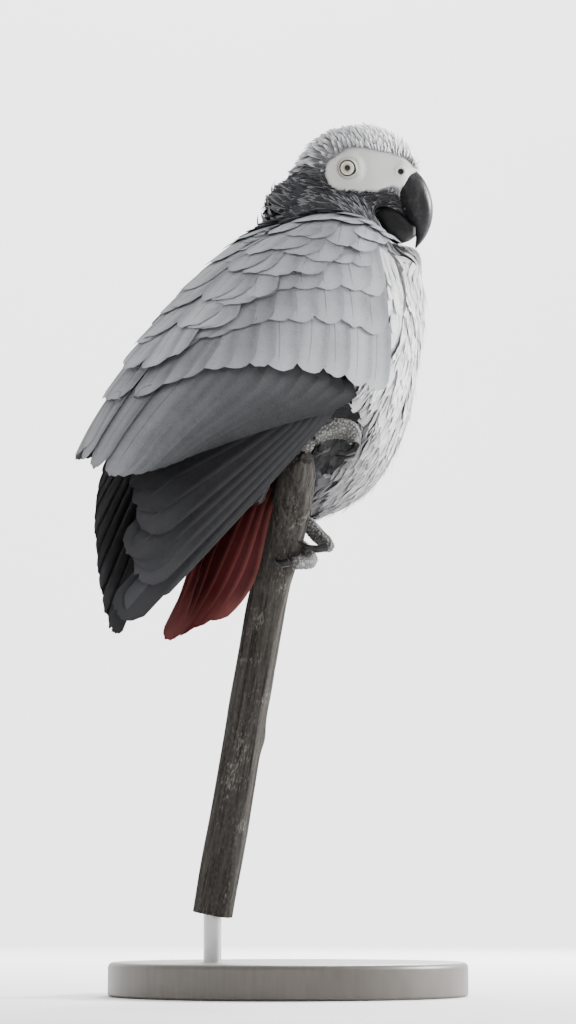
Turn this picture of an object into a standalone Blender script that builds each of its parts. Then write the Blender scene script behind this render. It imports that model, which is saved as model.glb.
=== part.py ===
"""A grey parrot on a cut stick: a still, life-size model held by a plain display stand.

Each solid is the outer form of one named part, out to the tips of its feathers. The trunk has a
frame of its own that slopes up to the front: forward, to the bird's right, and up off its back.
The head has another, turned to the bird's right. Sizes are in millimetres until they are placed.
"""

import math

import bmesh
import bpy
from mathutils import Matrix, Vector

MM = 0.001
GAP = 0.3  # between two pieces that touch
FLAT_ENOUGH = 2.0  # degrees between two faces that become one

# ---------------------------------------------------------------- driving sizes, in millimetres
BACK_SLOPE = 44.0  # degrees that the back rises to the front
TRUNK_CENTRE = (0.0, 0.0, 275.0)
HEAD_CENTRE = (35.5, -5.0, 383.5)  # between the eyes
HEAD_TURN = -46.0  # degrees to the bird's right
HEAD_ROLL = 13.0  # degrees that the right eye looks down

TAIL_LENGTH = 74.0
EYE_RADIUS = 5.6
EYE_SPREAD = 16.0  # from the head's middle to the eye's centre
PERCH_RADIUS = 9.8
BASE_RADIUS = 80.0
BASE_HEIGHT = 15.0
ROD_RADIUS = 4.0
ROD_DEPTH = 9.0  # that it is let into the base and into the stick

SECTION_POWER = 2.3  # 2 is an ellipse, more is squarer


# ---------------------------------------------------------------- frames
class Frame:
    """Turns lengths forward, right and up into a place in metres."""

    def __init__(self, centre, forward, up):
        self.centre = Vector(centre)
        self.forward = forward.normalized()
        self.up = up.normalized()
        self.right = self.forward.cross(self.up)

    def at(self, forward, right, up):
        place = self.centre + self.forward * forward + self.right * right + self.up * up
        return place * MM


def turned(yaw, pitch, roll=0.0):
    """The forward and up directions after a turn, a rise to the front and a roll, in degrees."""
    turn = (
        Matrix.Rotation(math.radians(yaw), 3, "Z")
        @ Matrix.Rotation(math.radians(-pitch), 3, "Y")
        @ Matrix.Rotation(math.radians(roll), 3, "X")
    )
    return turn @ Vector((1, 0, 0)), turn @ Vector((0, 0, 1))


TRUNK = Frame(TRUNK_CENTRE, *turned(0, BACK_SLOPE))
HEAD = Frame(HEAD_CENTRE, *turned(HEAD_TURN, 0, HEAD_ROLL))


# ---------------------------------------------------------------- lines and sections
def smooth_line(*stations):
    """A function of place through the (place, value) stations, with no overshoot between them."""
    stations = sorted(stations)
    xs = [x for x, _ in stations]
    ys = [y for _, y in stations]
    slopes = [(ys[i + 1] - ys[i]) / (xs[i + 1] - xs[i]) for i in range(len(xs) - 1)]
    tangents = [slopes[0]]
    for before, after in zip(slopes, slopes[1:]):
        tangents.append(0.0 if before * after <= 0 else 2 * before * after / (before + after))
    tangents.append(slopes[-1])

    def value(x):
        x = min(max(x, xs[0]), xs[-1])
        i = max(k for k in range(len(xs) - 1) if xs[k] <= x or k == 0)
        h = xs[i + 1] - xs[i]
        t = (x - xs[i]) / h
        return (
            (2 * t**3 - 3 * t**2 + 1) * ys[i]
            + (t**3 - 2 * t**2 + t) * h * tangents[i]
            + (3 * t**2 - 2 * t**3) * ys[i + 1]
            + (t**3 - t**2) * h * tangents[i + 1]
        )

    return value


def squared(angle, power=SECTION_POWER):
    """A point of a unit superellipse, across and up, at an angle from its top."""
    across, up = math.sin(angle), math.cos(angle)
    reach = (abs(across) ** power + abs(up) ** power) ** (-1 / power)
    return across * reach, up * reach


class Hull:
    """A body of smooth cross-sections along a frame's forward axis."""

    def __init__(self, frame, top, middle, bottom, half_width, power=SECTION_POWER):
        self.frame = frame
        self.top = smooth_line(*top)
        self.middle = smooth_line(*middle)
        self.bottom = smooth_line(*bottom)
        self.half_width = smooth_line(*half_width)
        self.power = power

    def at(self, forward, degrees, lift=0.0, side=1):
        """A place on the surface, by its station and its angle from the top to the given side."""
        across, up = squared(math.radians(degrees), self.power)
        middle = self.middle(forward)
        rise = self.top(forward) - middle if up > 0 else middle - self.bottom(forward)
        right = across * (self.half_width(forward) + lift)
        return self.frame.at(forward, side * right, middle + up * (rise + lift))


# ---------------------------------------------------------------- meshes
def finished(name, mesh, material):
    bmesh.ops.recalc_face_normals(mesh, faces=mesh.faces[:])
    data = bpy.data.meshes.new(name)
    mesh.to_mesh(data)
    mesh.free()
    data.shade_smooth()
    data.set_sharp_from_angle(angle=math.radians(40))
    data.materials.append(material)
    piece = bpy.data.objects.new(name, data)
    bpy.context.scene.collection.objects.link(piece)
    return piece


def lofted(name, rings, material):
    """A closed body through rings of equal length. A ring of one point is a pole."""
    mesh = bmesh.new()
    loops = [[mesh.verts.new(point) for point in ring] for ring in rings]
    count = max(len(loop) for loop in loops)
    for one, two in zip(loops, loops[1:]):
        for i in range(count):
            j = (i + 1) % count
            if len(one) == 1:
                mesh.faces.new((one[0], two[j], two[i]))
            elif len(two) == 1:
                mesh.faces.new((one[i], one[j], two[0]))
            else:
                mesh.faces.new((one[i], one[j], two[j], two[i]))
    for loop in (loops[0], loops[-1]):
        if len(loop) > 1:
            mesh.faces.new(loop)
    return finished(name, mesh, material)


def slab(name, outer, inner, material):
    """A closed sheet with thickness, from two grids of places that face each other."""
    mesh = bmesh.new()
    skins = [[[mesh.verts.new(point) for point in row] for row in grid] for grid in (outer, inner)]
    rows, columns = len(outer), len(outer[0])
    for skin in skins:
        for i in range(rows - 1):
            for j in range(columns - 1):
                mesh.faces.new((skin[i][j], skin[i + 1][j], skin[i + 1][j + 1], skin[i][j + 1]))
    rim = (
        [(i, 0) for i in range(rows)]
        + [(rows - 1, j) for j in range(1, columns)]
        + [(i, columns - 1) for i in range(rows - 2, -1, -1)]
        + [(0, j) for j in range(columns - 2, 0, -1)]
    )
    for (i, j), (k, m) in zip(rim, rim[1:] + rim[:1]):
        mesh.faces.new((skins[0][i][j], skins[0][k][m], skins[1][k][m], skins[1][i][j]))
    return finished(name, mesh, material)


def swept(name, path, radii, material, sides=10, flatten=1.0, up=Vector((0, 0, 1)), round_ends=True):
    """A round bar along a path of places in metres, with a radius in millimetres at each."""
    rings = []
    for i, place in enumerate(path):
        along = (path[min(i + 1, len(path) - 1)] - path[max(i - 1, 0)]).normalized()
        across = along.cross(up).normalized()
        over = across.cross(along)
        rings.append([
            place
            + across * (radii[i] * MM * math.cos(2 * math.pi * k / sides))
            + over * (radii[i] * flatten * MM * math.sin(2 * math.pi * k / sides))
            for k in range(sides)
        ])
    if round_ends:
        for end, near in ((0, 1), (-1, -2)):
            out = (path[end] - path[near]).normalized()
            pole = [path[end] + out * (radii[end] * 0.45 * MM)]
            rings = [pole] + rings if end == 0 else rings + [pole]
    return lofted(name, rings, material)


def bezier(points, steps):
    """Places along a smooth curve through the points, which are in millimetres."""
    points = [Vector(point) for point in points]
    ends = [points[0] * 2 - points[1]] + points + [points[-1] * 2 - points[-2]]
    curve = []
    for a, b, c, d in zip(ends, ends[1:], ends[2:], ends[3:]):
        for k in range(steps):
            t = k / steps
            curve.append(
                (b * 2 + (c - a) * t + (a * 2 - b * 5 + c * 4 - d) * t**2 + (b * 3 - a - c * 3 + d) * t**3)
                * (0.5 * MM)
            )
    return curve + [points[-1] * MM]


def copy_of(piece, grow=0.0):
    """A hidden copy of a piece, swollen by so many millimetres, to cut with."""
    twin = piece.copy()
    twin.data = piece.data.copy()
    twin.name = piece.name + "_cutter"
    bpy.context.scene.collection.objects.link(twin)
    if grow:
        mesh = bmesh.new()
        mesh.from_mesh(twin.data)
        mesh.normal_update()
        moves = [(vert, vert.co + vert.normal * (grow * MM * vert.calc_shell_factor())) for vert in mesh.verts]
        for vert, place in moves:
            vert.co = place
        mesh.to_mesh(twin.data)
        mesh.free()
    return twin


def combined(piece, other, operation):
    """Changes the piece by a Boolean with the other object, which is then removed."""
    change = piece.modifiers.new(operation.lower(), "BOOLEAN")
    change.operation = operation
    change.solver = "EXACT"
    change.object = other
    graph = bpy.context.evaluated_depsgraph_get()
    made = bpy.data.meshes.new_from_object(piece.evaluated_get(graph))
    piece.modifiers.clear()
    piece.data = made
    bpy.data.objects.remove(other)


def carve(piece, *others):
    """Takes the others out of a piece, with the gap that touching pieces keep."""
    for other in others:
        combined(piece, copy_of(other, GAP), "DIFFERENCE")


def cleared(piece):
    """Merges what a Boolean left doubled, and drops loose crumbs."""
    mesh = bmesh.new()
    mesh.from_mesh(piece.data)
    bmesh.ops.remove_doubles(mesh, verts=mesh.verts[:], dist=0.001 * MM)
    bmesh.ops.dissolve_degenerate(mesh, dist=0.001 * MM, edges=mesh.edges[:])
    bmesh.ops.dissolve_limit(
        mesh, angle_limit=math.radians(FLAT_ENOUGH), verts=mesh.verts[:], edges=mesh.edges[:],
    )
    left = set(mesh.verts)
    islands = []
    while left:
        grown, island = [left.pop()], set()
        while grown:
            vert = grown.pop()
            island.add(vert)
            for edge in vert.link_edges:
                near = edge.other_vert(vert)
                if near in left:
                    left.discard(near)
                    grown.append(near)
        islands.append(island)
    islands.sort(key=len)
    for island in islands[:-1]:
        bmesh.ops.delete(mesh, geom=list(island), context="VERTS")
    bmesh.ops.triangulate(mesh, faces=mesh.faces[:])
    mesh.to_mesh(piece.data)
    mesh.free()


def material(name, colour, roughness, metallic=0.0):
    made = bpy.data.materials.new(name)
    made.use_nodes = True
    shader = made.node_tree.nodes["Principled BSDF"]
    shader.inputs["Base Color"].default_value = (*colour, 1)
    shader.inputs["Roughness"].default_value = roughness
    shader.inputs["Metallic"].default_value = metallic
    return made


# ---------------------------------------------------------------- trunk, neck and head
TRUNK_HULL = Hull(
    TRUNK,
    top=((-84, 8), (-70, 24), (-50, 38), (-25, 48), (5, 52), (35, 51), (55, 46), (70, 36), (88, 20), (108, 2)),
    middle=((-84, -4), (-40, 2), (0, 0), (60, 4), (90, 0), (108, -3)),
    bottom=((-84, -17), (-70, -28), (-52, -43), (-30, -58), (0, -67), (28, -62), (60, -45), (86, -29), (108, -12)),
    half_width=((-84, 11), (-70, 20), (-50, 30), (-25, 40), (5, 44.5), (35, 43), (55, 39), (70, 34), (90, 25), (108, 10)),
    power=2.2,
)
TRUNK_ENDS = (-84, 108)
TRUNK_TIPS = (-87, 111)

HEAD_HULL = Hull(
    HEAD,
    top=((-40, -14), (-32, -1), (-20, 10), (-6, 17.5), (8, 19.5), (19, 16.5), (28, 9.5), (32, 4)),
    middle=((-40, -22), (-20, -9), (0, -2), (20, -2), (32, -3)),
    bottom=((-40, -32), (-28, -37), (-10, -33), (4, -27), (16, -21), (26, -14), (32, -8.5)),
    half_width=((-40, 13), (-30, 19), (-15, 21.5), (0, 20), (12, 17), (22, 12.5), (29, 8.5), (32, 6)),
    power=2.15,
)


def hull_rings(hull, stations, sides, tips):
    rings = [[hull.frame.at(tips[0], 0, (hull.top(stations[0]) + hull.bottom(stations[0])) / 2)]]
    for station in stations:
        rings.append([hull.at(station, 360 * k / sides) for k in range(sides)])
    rings.append([hull.frame.at(tips[1], 0, (hull.top(stations[-1]) + hull.bottom(stations[-1])) / 2)])
    return rings


def eased(first, last, count):
    """Stations that lie closer together towards both ends."""
    return [first + (last - first) * (0.5 - 0.5 * math.cos(math.pi * k / (count - 1))) for k in range(count)]


def make_trunk(feather):
    stations = eased(*TRUNK_ENDS, 16)
    return lofted("trunk", hull_rings(TRUNK_HULL, stations, 22, TRUNK_TIPS), feather)


def make_head(feather):
    stations = eased(-40, 32, 12)
    return lofted("head", hull_rings(HEAD_HULL, stations, 24, (-43, 33)), feather)


def make_neck(feather):
    """A short collar from inside the trunk's shoulders to inside the head."""
    low = Vector(TRUNK.at(56, 0, 14))
    high = Vector(HEAD.at(-17, 0, -10))
    path = [low.lerp(high, k / 6) for k in range(7)]
    radii = [33, 34, 32, 29, 25.5, 22, 17]
    return swept("neck", path, radii, feather, sides=20, up=Vector((0, 1, 0)))


# ---------------------------------------------------------------- wings
WING_HULL = Hull(
    TRUNK,
    top=((-175, 10), (-150, 28), (-125, 45), (-100, 53), (-70, 58), (-40, 61), (0, 62), (35, 60), (60, 54), (80, 42)),
    middle=((-175, -8), (-145, 8), (-120, 17), (-95, 18), (-70, 14), (-40, 8), (-10, 2), (20, 0), (50, 4), (80, 8)),
    bottom=((-175, -30), (-120, -40), (-60, -48), (0, -52), (50, -42), (80, -28)),
    half_width=((-175, 8), (-145, 20), (-120, 29), (-95, 37), (-70, 44), (-40, 49), (0, 52), (35, 51), (60, 45), (80, 34)),
    power=2.6,
)
PRIMARY_HULL = Hull(
    TRUNK,
    top=((-166, -12), (-145, 8), (-118, 27), (-90, 37), (-60, 44), (-10, 50)),
    middle=((-166, -14), (-147, -9), (-93, -7), (-15, -5)),
    bottom=((-166, -30), (-90, -45), (-15, -50)),
    half_width=((-166, 5), (-147, 11.5), (-120, 20), (-93, 29), (-60, 39), (-15, 48.5)),
    power=2.4,
)


def lobed(place, count, depth):
    """How far a row of rounded feather tips falls short of its line, for a place from 0 to 1."""
    return depth * (1 - abs(math.sin(math.pi * count * place)))


def wing_slab(name, hull, side, angles, front, back, thick, material, rows, columns, lobes=0, depth=0.0, lift=0.0):
    """A stretch of the wing's outer surface between two edges, each a function of the angle."""
    outer, inner = [], []
    for i in range(rows):
        place = i / (rows - 1)
        angle = angles[0] + (angles[1] - angles[0]) * place
        first = front(angle)
        last = back(angle) + (lobed(place, lobes, depth) if lobes else 0)
        outer.append([])
        inner.append([])
        for j in range(columns):
            share = j / (columns - 1)
            station = first + (last - first) * share
            depth_here = thick[0] + (thick[1] - thick[0]) * share
            outer[-1].append(hull.at(station, angle, lift, side))
            inner[-1].append(hull.at(station, angle, lift - depth_here, side))
    return slab(name, outer, inner, material)


COVERT_FRONT = smooth_line((5, 44), (25, 60), (45, 65), (65, 65), (85, 56), (100, 30))
COVERT_BACK = smooth_line((5, -90), (25, -76), (45, -60), (60, -46), (72, -32), (84, -18), (94, -8), (100, -2))
SECONDARY_BACK = smooth_line((-16, -118), (40, -118), (55, -110), (66, -88), (75, -60), (84, -34), (96, -14))
PRIMARY_BACK = smooth_line((2, -118), (25, -126), (50, -140), (72, -158), (92, -163))


def make_wing(side, word, inner_edge, reach, grey, dark):
    """Coverts, secondaries and primaries. The inner edge is an angle off the back's middle."""
    coverts = wing_slab(
        f"wing_{word}_coverts", WING_HULL, side, (5, 100), COVERT_FRONT, COVERT_BACK, (7, 3.2), grey,
        rows=31, columns=5, lobes=10, depth=5,
    )
    secondaries = wing_slab(
        f"wing_{word}_secondaries", WING_HULL, side, (inner_edge, 96),
        lambda angle: COVERT_BACK(angle) - GAP, lambda angle: SECONDARY_BACK(angle) * reach,
        (2.6, 1.6), grey, rows=31, columns=3, lobes=10, depth=4, lift=-0.8,
    )
    primaries = wing_slab(
        f"wing_{word}_primaries", PRIMARY_HULL, side, (4, 92),
        lambda angle: -10 - (92 - angle) * 0.55, lambda angle: PRIMARY_BACK(angle) * reach,
        (2.4, 1.2), dark, rows=22, columns=4, lobes=7, depth=5,
    )
    return coverts, secondaries, primaries


# ---------------------------------------------------------------- tail
TAIL_ROOT = -64.0
TAIL_RISE = smooth_line((-138, -36), (-110, -28), (-94, -22), (-64, -14))
TAIL_SPREAD = smooth_line((-138, 7), (-125, 11), (-110, 14), (-94, 15), (-64, 12))
TAIL_DROP = smooth_line((-138, 1), (-125, 5), (-114, 11), (-94, 20), (-75, 12), (-64, 6))


def make_tail(dark):
    """Twelve flat feathers, stacked to a roof: its sides hang down, and their feathers end earlier."""
    outer, inner = [], []
    rows, columns = 19, 4
    for i in range(rows):
        place = -1 + 2 * i / (rows - 1)
        tip = TAIL_ROOT - TAIL_LENGTH + 24 * place**2 + lobed((place + 1) / 2, 12, 3)
        outer.append([])
        inner.append([])
        for j in range(columns):
            station = TAIL_ROOT + (tip - TAIL_ROOT) * j / (columns - 1)
            right = 2 + place * TAIL_SPREAD(station)
            rise = TAIL_RISE(station) - TAIL_DROP(station) * place**2
            outer[-1].append(TRUNK.at(station, right, rise))
            inner[-1].append(TRUNK.at(station, right, rise - 3.4 + 1.4 * j / (columns - 1)))
    return slab("tail", outer, inner, dark)


# ---------------------------------------------------------------- bill and eyes
def make_bill_upper(horn):
    """A hooked horn: its ridge falls in an arc from the cere to the tip."""
    ridge = [(30.5, -0.5), (35.0, -5.2), (38.2, -12.2), (39.4, -19.0), (38.8, -25.8), (36.0, -32.6), (31.4, -38.2)]
    inside = [(22.5, -14.0), (23.2, -18.0), (25.0, -21.4), (27.4, -24.8), (29.8, -28.2), (31.4, -32.4), (31.0, -37.0)]
    widths = [8.6, 8.3, 7.6, 6.6, 5.2, 3.4, 1.2]
    steps, sides = 2, 16
    ridge = bezier([(f, 0, u) for f, u in ridge], steps)
    inside = bezier([(f, 0, u) for f, u in inside], steps)
    widths = bezier([(w, 0, 0) for w in widths], steps)
    rings = []
    for out, back, wide in zip(ridge, inside, widths):
        middle, reach = (out + back) / 2, (out - back) / 2
        ring = []
        for k in range(sides):
            across, along = squared(2 * math.pi * k / sides, 2.2)
            place = middle + reach * along
            ring.append(HEAD.at(place.x / MM, across * wide.x / MM, place.z / MM))
        rings.append(ring)
    tip = ridge[-1] + (ridge[-1] - ridge[-2]) * 0.4
    rings.append([HEAD.at(tip.x / MM - 0.4, 0, tip.z / MM)])
    return lofted("bill_upper", rings, horn)


LOWER_TOP = smooth_line((12, -18.5), (19, -18.4), (23, -19.6), (26.8, -23.4), (30.4, -27.2))
LOWER_BOTTOM = smooth_line((12, -24.5), (17, -31.4), (23, -35.6), (27.4, -34.8), (30.4, -31.8))
LOWER_WIDTH = smooth_line((12, 6.6), (18, 8.4), (23, 8.0), (27, 6.6), (30.4, 4.6))


def make_bill_lower(horn):
    """A short scoop that closes inside the upper bill."""
    rings = []
    sides = 14
    for station in eased(12, 30.4, 8):
        top, bottom = LOWER_TOP(station), LOWER_BOTTOM(station)
        ring = []
        for k in range(sides):
            across, up = squared(2 * math.pi * k / sides, 2.6)
            ring.append(HEAD.at(station, across * LOWER_WIDTH(station), (top + bottom) / 2 + up * (top - bottom) / 2))
        rings.append(ring)
    return lofted("bill_lower", rings, horn)


def make_eye(side, word, iris):
    mesh = bmesh.new()
    bmesh.ops.create_uvsphere(mesh, u_segments=12, v_segments=7, radius=EYE_RADIUS * MM)
    bmesh.ops.translate(mesh, verts=mesh.verts[:], vec=HEAD.at(-0.8, side * EYE_SPREAD, -0.8))
    return finished(f"eye_{word}", mesh, iris)


# ---------------------------------------------------------------- perch and stand
PERCH_LINE = (
    (-25.0, 22.5, 36.0),
    (-21.7, 13.3, 86.0),
    (-19.0, 5.0, 131.0),
    (-17.0, -5.6, 179.5),
    (-16.2, -14.0, 206.0),
    (-21.7, -29.2, 236.0),
)


def perch_path(steps=3):
    return bezier(PERCH_LINE, steps)


def make_perch(wood):
    path = perch_path()
    last = len(path) - 1
    radii = [PERCH_RADIUS * (1 + 0.035 * math.sin(0.9 * k)) for k in range(last + 1)]
    radii[-1] *= 0.62
    radii[-2] *= 0.9
    return swept("perch", path, radii, wood, sides=12, up=Vector((1, 0, 0)), round_ends=False)


def make_stand(perch, metal, board):
    """A flat round base, and a rod let into it and into the stick's end."""
    mesh = bmesh.new()
    bmesh.ops.create_cone(
        mesh, cap_ends=True, segments=32, radius1=BASE_RADIUS * MM, radius2=BASE_RADIUS * MM,
        depth=BASE_HEIGHT * MM,
    )
    bmesh.ops.translate(mesh, verts=mesh.verts[:], vec=(0, 0, BASE_HEIGHT / 2 * MM))
    rim = [edge for edge in mesh.edges if all(vert.co.z > BASE_HEIGHT * 0.9 * MM for vert in edge.verts)]
    bmesh.ops.bevel(mesh, geom=rim, offset=2.5 * MM, segments=2, profile=0.5, affect="EDGES")
    base = finished("stand_base", mesh, board)

    foot = Vector(PERCH_LINE[0])
    low, high = BASE_HEIGHT - ROD_DEPTH, foot.z + ROD_DEPTH
    mesh = bmesh.new()
    bmesh.ops.create_cone(
        mesh, cap_ends=True, segments=16, radius1=ROD_RADIUS * MM, radius2=ROD_RADIUS * MM,
        depth=(high - low) * MM,
    )
    bmesh.ops.translate(mesh, verts=mesh.verts[:], vec=(foot.x * MM, foot.y * MM, (low + high) / 2 * MM))
    rod = finished("stand_rod", mesh, metal)
    carve(base, rod)
    carve(perch, rod)
    return base, rod


# ---------------------------------------------------------------- legs
TOE_RADIUS = 3.5
CLAW_START = 3.0  # from the end of a toe's path to the start of its claw's
CLAW_RADII = (2.3, 2.0, 1.3, 0.55)
GRIP_HEIGHT = 201.0
PALM_ANGLE = 45.0  # the palm is in front of the stick and to its left, from the bird's front


def spread(values, count, steps):
    """Radii for every place of a smooth curve, from those at its own points."""
    line = smooth_line(*enumerate(values))
    places = (count - 1) * steps
    return [line(i * (len(values) - 1) / places) for i in range(places + 1)]


def make_toe(side, word, points, radii, claw_points, scale, horn, up):
    """A toe and its claw, each curling about the direction given as up."""
    toe = swept(f"toe_{side}_{word}", bezier(points, 2), spread(radii, len(points), 2), scale, sides=6, up=up)
    claw = swept(
        f"claw_{side}_{word}", bezier(claw_points, 1), spread(CLAW_RADII, len(claw_points), 1), horn,
        sides=6, up=up,
    )
    return toe, claw


def perch_axis(height):
    """The stick's middle and its direction at a height."""
    path = perch_path()
    for low, high in zip(path, path[1:]):
        if low.z <= height * MM <= high.z:
            share = (height * MM - low.z) / (high.z - low.z)
            return low.lerp(high, share) / MM, (high - low).normalized()
    raise ValueError("no stick at this height")


def round_perch(angle, rise, distance):
    """A place beside the stick: turned about it from the bird's front, in degrees, off its skin."""
    middle, along = perch_axis(GRIP_HEIGHT + rise)
    front = Vector((1, 0, 0))
    front = (front - along * front.dot(along)).normalized()
    left = along.cross(front)
    turn = math.radians(PALM_ANGLE + angle)
    return middle + (front * math.cos(turn) + left * math.sin(turn)) * (PERCH_RADIUS + distance)


def make_standing_leg(scale, horn):
    """A leg in front of the stick, with two toes round its right side and two round its left."""
    heel, palm_top, palm = Vector((7, 12, 236)), Vector(round_perch(2, 14, 9.5)), Vector(round_perch(0, 0, 6.5))
    leg = swept("leg_left", bezier((heel, (heel + palm_top) / 2, palm_top, palm), 3),
                spread((5.5, 5.0, 5.2, 6.0), 4, 3), scale, sides=12, up=Vector((1, 0, 0)))
    # name, way round, rise at the palm and at the toe's end, its last angle, how far it stands off,
    # the claw's last angle
    toes = (
        ("front_inner", -1, 7.0, 3.0, 100, 7.0, 142),
        ("front_outer", -1, -2.0, -7.0, 148, 0.6, 186),
        ("back_inner", 1, 8.0, 13.0, 84, 2.5, 118),
        ("back_outer", 1, -3.0, -11.0, 86, 6.0, 122),
    )
    pieces = [leg]
    for word, way, start, end, reach, stand_off, claw_reach in toes:
        points = []
        for k in range(5):
            share = k / 4
            points.append(round_perch(
                way * (26 + (reach - 26) * share), start + (end - start) * share,
                TOE_RADIUS + 1.0 + stand_off * share**1.5,
            ))
        claw_from = reach + math.degrees(CLAW_START / (PERCH_RADIUS + TOE_RADIUS + 0.6 + stand_off))
        claw_points = []
        for k in range(4):
            share = k / 3
            claw_points.append(round_perch(
                way * (claw_from + (claw_reach - claw_from) * share), end - 1.5 * math.sin(math.pi * share),
                (TOE_RADIUS + 0.6 + stand_off) * (1 - share) + 1.2 * share + 1.2 * math.sin(math.pi * share),
            ))
        pieces += make_toe("left", word, points, (4.2, 3.7, 3.4, 3.3, 3.0), claw_points, scale, horn,
                           Vector((0, 0, 1)))
    carve(leg, *pieces[1:])
    return pieces


FIST = Frame((-5.2, -37.0, 247.0), *turned(-28, 8))


def make_hollow(feather):
    """The dent that the closed foot lies in, between the flank's feathers."""
    mesh = bmesh.new()
    bmesh.ops.create_icosphere(mesh, subdivisions=2, radius=MM)
    size = Matrix.Diagonal((22, 13.5, 15)).to_4x4()
    lie = Matrix((FIST.forward, FIST.right, FIST.up)).transposed().to_4x4()
    place = Matrix.Translation(FIST.at(-6, -1, -1))
    bmesh.ops.transform(mesh, matrix=place @ lie @ size, verts=mesh.verts[:])
    return finished("hollow", mesh, feather)


def make_tucked_leg(scale, horn):
    """A closed foot drawn up against the flank: its toes curl forward, down and back."""
    pieces = []
    # name, distance to the bird's right, how far forward its bend lies, how high
    toes = (("front_outer", 4.4, 6.5, 2.5), ("front_inner", -3.4, 8.0, 1.5))
    for word, right, bend, rise in toes:
        points = [
            (-13, -0.6, rise - 1.5), (-6, 0, rise + 1), (1, 0, rise + 1.2), (bend - 1.5, 0, rise - 0.4),
            (bend, 0, rise - 4.4),
        ]
        points = [FIST.at(f, right + r, u) / MM for f, r, u in points]
        claw = [
            (bend, 0, rise - 4.4 - CLAW_START), (bend - 1.6, 0, rise - 10),
            (bend - 5.6, 0, rise - 11.2), (bend - 9.6, 0, rise - 9.6),
        ]
        claw = [FIST.at(f, right + r, u) / MM for f, r, u in claw]
        pieces += make_toe("right", word, points, (3.6, 3.6, 3.5, 3.4, 2.8), claw, scale, horn, FIST.right)
    for word, right in (("back_outer", 4.4), ("back_inner", -3.4)):
        points = [(-17.5, 0, 5.0), (-19.5, 0, 1.5), (-18.0, 0, -2.4), (-14.5, 0, -4.0)]
        points = [FIST.at(f, right + r, u) / MM for f, r, u in points]
        claw = [(-14.5 + CLAW_START, 0, -4.6), (-9.6, 0, -5.8), (-7.8, 0, -6.0), (-6.2, 0, -5.4)]
        claw = [FIST.at(f, right + r, u) / MM for f, r, u in claw]
        pieces += make_toe("right", word, points, (3.4, 3.4, 3.1, 2.7), claw, scale, horn, FIST.right)
    shank = [(-11, -6.5, 7), (-12.5, -4.0, 5.5), (-14, -1.5, 4.0), (-15, 0.5, 3.0)]
    shank = [FIST.at(f, r, u) / MM for f, r, u in shank]
    leg = swept("leg_right", bezier(shank, 3), spread((4.8, 4.8, 5.2, 5.0), 4, 3), scale, sides=12)
    carve(leg, *pieces)
    return [leg] + pieces


def build():
    for stale in list(bpy.data.objects):
        bpy.data.objects.remove(stale)
    grey = material("grey_feather", (0.36, 0.37, 0.39), 0.7)
    pale = material("pale_feather", (0.5, 0.51, 0.53), 0.7)
    dark = material("dark_feather", (0.06, 0.06, 0.07), 0.6)
    red = material("red_feather", (0.25, 0.02, 0.03), 0.6)
    horn = material("black_horn", (0.03, 0.03, 0.035), 0.35)
    scale = material("grey_scale", (0.28, 0.27, 0.26), 0.6)
    iris = material("pale_iris", (0.75, 0.72, 0.6), 0.1)
    wood = material("weathered_wood", (0.22, 0.18, 0.14), 0.8)
    board = material("stand_board", (0.2, 0.19, 0.18), 0.5)
    metal = material("stand_metal", (0.5, 0.5, 0.5), 0.3, 1.0)

    trunk = make_trunk(pale)
    head = make_head(pale)
    neck = make_neck(pale)
    wings = [*make_wing(1, "right", -14, 1.0, grey, dark), *make_wing(-1, "left", 17, 0.93, grey, dark)]
    tail = make_tail(red)
    upper = make_bill_upper(horn)
    lower = make_bill_lower(horn)
    eyes = [make_eye(1, "right", iris), make_eye(-1, "left", iris)]
    perch = make_perch(wood)
    make_stand(perch, metal, board)
    standing = make_standing_leg(scale, horn)
    tucked = make_tucked_leg(scale, horn)

    carve(lower, upper)
    carve(head, *eyes, lower, upper)
    carve(wings[3], head)
    cleared(wings[3])
    carve(neck, head, trunk, lower, upper, wings[0], wings[3])
    combined(trunk, make_hollow(pale), "DIFFERENCE")
    carve(trunk, perch, tail, standing[0], standing[1], standing[5], standing[6])
    for piece in (trunk, head, neck, lower, standing[0], tucked[0]):
        cleared(piece)


build()
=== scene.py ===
"""The looks of the grey parrot: one skin under a coat of solid feathers, with bill, eyes, feet and stick."""

import math

import bmesh
import bpy
import numpy as np
from mathutils import Matrix, Vector, noise
from mathutils.bvhtree import BVHTree


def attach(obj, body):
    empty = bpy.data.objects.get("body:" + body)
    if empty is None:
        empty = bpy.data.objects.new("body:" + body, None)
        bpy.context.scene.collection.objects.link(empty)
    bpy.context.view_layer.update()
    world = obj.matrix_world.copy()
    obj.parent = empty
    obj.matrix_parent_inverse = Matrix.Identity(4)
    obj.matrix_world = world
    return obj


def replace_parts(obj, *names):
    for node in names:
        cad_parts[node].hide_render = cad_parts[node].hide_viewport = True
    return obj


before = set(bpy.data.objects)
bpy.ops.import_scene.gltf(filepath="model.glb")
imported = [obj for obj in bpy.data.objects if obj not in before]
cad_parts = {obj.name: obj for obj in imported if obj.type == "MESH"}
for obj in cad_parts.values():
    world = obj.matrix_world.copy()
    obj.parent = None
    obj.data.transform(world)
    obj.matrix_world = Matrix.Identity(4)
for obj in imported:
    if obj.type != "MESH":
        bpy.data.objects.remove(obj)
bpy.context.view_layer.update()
MM = 0.001
TURN = 6.283  # one turn in radians, for waves and random starts


# ---------------------------------------------------------------- lines, frames and hulls, in millimetres
def unit(vectors):
    return vectors / np.maximum(np.linalg.norm(vectors, axis=-1, keepdims=True), 1e-9)


def blend(one, two, share):
    return one * (1 - share) + two * share


def hump(x, middle, width):
    """1 at the middle, falling off to both sides."""
    return np.exp(-(((x - middle) / width) ** 2))


def circle(count):
    """Angles round a circle."""
    return np.linspace(0, 2 * np.pi, count, endpoint=False)


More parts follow.
